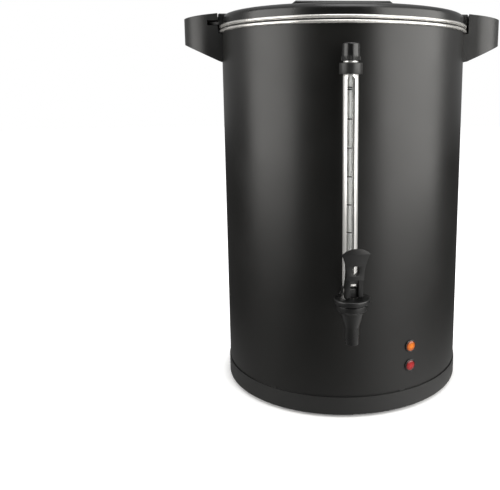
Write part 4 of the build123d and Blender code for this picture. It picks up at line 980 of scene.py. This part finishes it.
# %% The tap's body
tap_line = over(tap_y)
spout_end = low("tap_body").z
spout_bore = 5.2
chamber_radius = 8.6
chamber_floor = 139.0
band_radius = 16.0
band_top = high("tap_body").z
lip_radius = 14.8
spigot_out = 13.5
spigot_foot = band_top - 5.0
spigot_hole = spigot_out + 0.1
body_outline = rounded(
    [
        (spout_bore, spout_end, 0.3),
        (7.1, spout_end, 0.6),
        (7.5, 130.0, 6.0),
        (12.3, 146.0, 1.0),
        (14.0, 147.0, 1.5),
        (band_radius, 149.0, 1.2),
        (band_radius, band_top - 2.0, 0.5),
        (lip_radius, band_top - 1.4, 0.2),
        (lip_radius, band_top, 0),
        (spigot_hole, band_top, 0),
        (spigot_hole, spigot_foot, 0),
        (chamber_radius, spigot_foot, 0),
        (chamber_radius, chamber_floor, 0.5),
        (spout_bore, chamber_floor, 0.5),
    ]
)
boss_radius = 10.0
boss_start = -low("gauge_tee").y
boss_end = -tap_y - 8.7  # just past the chamber's wall
bore_radius = high("tap_shank").x + 0.01
bore_over = 2.0  # how far the bore's cutter passes the boss at each end
boss = spin("boss", rod_outline(boss_radius, boss_start, boss_end), shank_line)
bore = spin("bore", rod_outline(bore_radius, boss_start - bore_over, boss_end + bore_over), shank_line)
body = cut(combined(spin("tap_body", body_outline, tap_line), boss, "UNION"), bore)
settle("tap_body_turned", body, "gloss_black_plastic", "root", "tap_body")

# %% The tap's bonnet
bonnet_out = high("tap_bonnet").x
bonnet_foot = band_top + 0.02
bonnet_top = high("tap_bonnet").z
stem_hole = 2.9
spring_room = 6.6
spring_roof = band_top + 2.5
bonnet_outline = rounded(
    [
        (stem_hole, spring_roof, 0),
        (spring_room, spring_roof, 0),
        (spring_room, spigot_foot, 0.2),
        (spigot_out, spigot_foot, 0.2),
        (spigot_out, bonnet_foot, 0),
        (bonnet_out, bonnet_foot, 0.9),
        (bonnet_out, bonnet_top, 1.1),
        (stem_hole, bonnet_top, 0.3),
    ]
)
bonnet = spin("bonnet", bonnet_outline, tap_line)
settle("tap_bonnet_turned", bonnet, "gloss_black_plastic", "root", "tap_bonnet")

# %% [markdown]
# ## Lights
# Each light is a turned bezel with a domed lens in it. The dome makes the small bright reflex that a
# flat lens would not have. Heights in the outlines are measured from the wall outwards. The wall is
# round, so the bezel's flat back lies just behind its front line.


# %% Bezels and lenses
def merged(name, meshes):
    """Several meshes as one. The meshes themselves go."""
    bm = bmesh.new()
    for mesh in meshes:
        bm.from_mesh(mesh)
        bpy.data.meshes.remove(mesh)
    return tidy_mesh(name, bm)


light_angle = degrees(atan2(amber_centre.x, -amber_centre.y))
light_seat = 0.4  # where the lens's flange lies in the bezel
bezel_bore = 4.5
bezel_shank = 5.6
bezel_lip = 6.0
bezel_out = 7.3
bezel_end = -14.0
bezel_back = -0.4
bezel_front = 1.7
bezel_outline = rounded(
    [
        (bezel_bore, bezel_end, 0),
        (bezel_shank, bezel_end, 0.2),
        (bezel_shank, bezel_back, 0),
        (bezel_out, bezel_back, 0),
        (bezel_out, bezel_front, 0.9),
        (bezel_lip, bezel_front, 0.35),
        (bezel_lip, light_seat, 0),
        (bezel_bore, light_seat, 0),
    ]
)
lens_shank = 4.4
lens_flange = 5.9
lens_end = -11.6
dome_out = 5.8
dome_foot = 1.5
dome_rise = 1.1
dome_steps = 10
lens_outline = rounded(
    [
        (0, lens_end, 0),
        (lens_shank, lens_end, 0.3),
        (lens_shank, light_seat, 0),
        (lens_flange, light_seat, 0),
        (lens_flange, dome_foot, 0.2),
    ]
)
for step in range(1, dome_steps + 1):
    turn = pi / 2 * step / dome_steps
    lens_outline.append(Vector((dome_out * cos(turn), dome_foot + dome_rise * sin(turn))))
bezels = []
for name, centre in (("amber_lens", amber_centre), ("red_lens", red_centre)):
    place = on_wall(light_angle, centre.z / MM, wall_radius)
    bezels.append(spin("bezel", bezel_outline, place, facets_light))
    lens = spin(name, lens_outline, place, facets_light)
    settle(name + "_domed", lens, name, "root", name)
settle("light_bezels_turned", merged("bezels", bezels), "gloss_black_plastic", "root", "light_bezels")

# %% [markdown]
# ## Outer shell
# The shell is a large round wall, and its gloss would show the line at which a turned surface starts
# and ends. Each wall face of the copy is shaded with the exact direction away from the urn's axis.

# %% The shell's wall
wall_lean = radians(5)  # a face that looks further than this from the axis is no part of the wall
shell = settle("shell_wall", frame["nodes"]["outer_shell"].data.copy(), "body_paint", "root", "outer_shell")
directions = [corner.vector.copy() for corner in shell.data.corner_normals]
for face in shell.data.polygons:
    for index in face.loop_indices:
        point = shell.data.vertices[shell.data.loops[index].vertex_index].co
        out = Vector((point.x, point.y, 0)).normalized()
        facing = face.normal.dot(out)
        if abs(facing) > cos(wall_lean):
            directions[index] = out if facing > 0 else -out
shell.data.normals_split_custom_set(directions)

# %% [markdown]
# ## Softer edges
# Some parts have the right shape but sharp edges. A copy of such a part is merged into one skin, its
# flat faces are joined, and each edge is broken a little, so that it catches a thin line of light.

# %% Softened copies
weld_reach = 0.000002
flat_angle = radians(0.5)  # faces closer to one plane than this are joined
edge_angle = radians(30)  # edges above this angle are broken


def softened(node, width, slot, body, cutters=()):
    """A copy of a part with broken edges, after any cuts."""
    bm = bmesh.new()
    bm.from_mesh(frame["nodes"][node].data)
    bmesh.ops.remove_doubles(bm, verts=bm.verts, dist=weld_reach)
    bmesh.ops.dissolve_limit(bm, angle_limit=flat_angle, verts=bm.verts, edges=bm.edges)
    mesh = bpy.data.meshes.new(node)
    bm.to_mesh(mesh)
    bm.free()
    for cutter in cutters:
        mesh = cut(mesh, cutter)
    mesh.shade_smooth()
    mesh.set_sharp_from_angle(angle=edge_angle)
    edges = {
        "width": width * MM,
        "segments": 2,
        "limit_method": "ANGLE",
        "angle_limit": edge_angle,
        "use_clamp_overlap": True,
    }
    evened = {"mode": "FACE_AREA", "weight": 50, "keep_sharp": True}
    done = evaluated(mesh, ("BEVEL", edges), ("WEIGHTED_NORMAL", evened))
    settle(node + "_softened", done, slot, body, node)


# %% [markdown]
# ### Lever, stem and spring
# The lever is a thin paddle above two cheeks. The cheeks stand back from the paddle's face, and the
# paddle's back is hollowed towards its crown. Between the cheeks a black sleeve covers the stem's head:
# a made-up dark piece that paints the shade in the tap's mouth.

# %% Lever and sleeve
lever_turn = 12.0
lever_place = over(tap_y) @ on_wall(lever_turn, mid("tap_pin", "z"), 0)
sideways = Matrix.Rotation(radians(90), 4, "Y")
clear = 20.0  # past the lever's sides
cheek_foot = -12.0
cheek_top = 13.0
cheek_front = 8.8
step_shape = sharp((-clear, cheek_foot), (clear, cheek_foot), (clear, cheek_top), (-clear, cheek_top))
step_cut = bar("step", step_shape, lever_place @ Matrix.Translation((0, 0, cheek_front)), clear)
back_shape = sharp((-13.0, 48), (-12.3, 38), (-11.4, 31), (-6.5, 25), (0, 25), (0, 48))
from_side = lever_place @ sideways @ Matrix.Translation((0, 0, -clear))
back_cut = bar("back", back_shape, from_side, 2 * clear)
softened("tap_lever", 0.3, "gloss_black_plastic", "lever", (step_cut, back_cut))
head_half = 3.6
head_foot = -7.7
head_width = 8.2
head_shape = rounded(
    [
        (head_half, head_foot, 0.4),
        (head_half, head_half, head_half - 0.1),
        (-head_half, head_half, head_half - 0.1),
        (-head_half, head_foot, 0.4),
    ]
)
from_pin = lever_place @ sideways @ Matrix.Translation((0, 0, -head_width / 2))
# a made-up black sleeve over the stem's head, a dark piece standing in for the shade in the tap's mouth
sleeve = bar("sleeve", head_shape, from_pin, head_width)
settle("tap_stem_shade_sleeve", sleeve, "gloss_black_plastic", "stem")

# %% [markdown]
# The stem's flange presses the tap's spring up against the bonnet as the stem lifts.

# %% Spring
coil = settle("tap_spring_coil", frame["nodes"]["tap_spring"].data.copy(), "stainless", "root", "tap_spring")
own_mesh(coil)

# %% Mouldings
for node, width, slot, body in (
    ("gauge_holder", 0.4, "black_plastic", "root"),
    ("gauge_tee", 0.3, "gloss_black_plastic", "root"),
    ("lid_lug_left", 0.4, "black_plastic", "lid"),
    ("lid_lug_right", 0.4, "black_plastic", "lid"),
    ("power_inlet", 0.4, "black_plastic", "root"),
    ("switch_housing", 0.4, "black_plastic", "root"),
    ("switch_rocker", 0.3, "gloss_black_plastic", "rocker"),
):
    softened(node, width, slot, body)

# %% [markdown]
# ## Screws and marks
# The screws that show have a cross recess. The rocker has the two generic marks of a mains switch: a
# ring for off and a bar for on, each printed on its own half.

# %% Cross-head screws
head_tall = 1.8
head_wall = 0.6  # how far the head's upright side ends below its top
crown_reach = 0.85  # of the head's radius
crown_tall = 0.5
slit_size = (1.2, 0.26)  # its length and its width, of the head's radius
slit_floor = 0.55  # its depth, of the head's height


def cross_screw(place, head, length):
    """A screw with its head's top on the place's plane. The head is given by its radius."""
    stem = head * 0.5
    corners = [(0, -length, 0), (stem, -length, 0.3), (stem, -head_tall, 0), (head, -head_tall, 0.1)]
    corners.append((head, -head_wall, 0.4))
    for angle in (0.6, 1.0, 1.3):
        corners.append((head * crown_reach * cos(angle), crown_tall * sin(angle) - crown_tall, 0))
    corners.append((0, 0, 0))
    blank = spin("screw", rounded(corners), place, facets_screw)
    slit = box_outline(head * slit_size[0], head * slit_size[1])
    sunk = Matrix.Translation((0, 0, -slit_floor * head_tall))
    for turned in (0, 90):
        way = place @ Matrix.Rotation(radians(turned), 4, "Z") @ sunk
        blank = cut(blank, bar("slit", slit, way, head_tall))
    return blank


def screw_set(name, node, places, head, length):
    """Several equal screws as one piece."""
    screws = merged(name, [cross_screw(place, head, length) for place in places])
    settle(name, screws, "zinc_steel", "root", node)


inlet_line = on_wall(180, mid("inlet_screws", "z"), high("inlet_screws").y)
inlet_spread = 20.5
inlet_head = (high("inlet_screws").z - low("inlet_screws").z) / 2 - 0.03
inlet_length = 10.0
inlet_places = [inlet_line @ Matrix.Translation((side * inlet_spread, 0, 0)) for side in (-1, 1)]
screw_set("inlet_cross_screws", "inlet_screws", inlet_places, inlet_head, inlet_length)

foot_circle = 111.0
foot_reach = foot_circle * cos(radians(45))
foot_head = 3.1
foot_low = low("bottom_screws").z
foot_length = high("bottom_screws").z - foot_low
downwards = Matrix.Rotation(radians(180), 4, "X")
foot_places = [
    Matrix.Translation((across * foot_reach, along * foot_reach, foot_low)) @ downwards
    for across in (-1, 1)
    for along in (-1, 1)
]
screw_set("bottom_cross_screws", "bottom_screws", foot_places, foot_head, foot_length)

# %% Switch marks
switch_turn = 162.0
rocker_pivot = 147.5
rocker_rest = 10.0
rocker_crest = 3.4
sign_offset = 6.3
sign_sunk = 0.05
sign_tall = 0.15
bar_shape = box_outline(0.9, 4.2, 0.2)
ring_shape = tube_outline(2.2, 1.45, 0, sign_tall, 0.03)
rocker_line = on_wall(switch_turn, mid("switch_housing", "z"), rocker_pivot)
rocker_line = rocker_line @ Matrix.Rotation(radians(-rocker_rest), 4, "X")
crest_line = rocker_line @ Matrix.Translation((0, 0, rocker_crest))
off_half = crest_line @ Matrix.Rotation(radians(rocker_rest), 4, "X")
off_half = off_half @ Matrix.Translation((0, sign_offset, -sign_sunk))
on_half = crest_line @ Matrix.Rotation(radians(-rocker_rest), 4, "X")
on_half = on_half @ Matrix.Translation((0, -sign_offset, -sign_sunk))
settle("rocker_mark_off", spin("off", ring_shape, off_half, facets_screw), "white_plastic", "rocker")
settle("rocker_mark_on", bar("on", bar_shape, on_half, sign_tall), "white_plastic", "rocker")
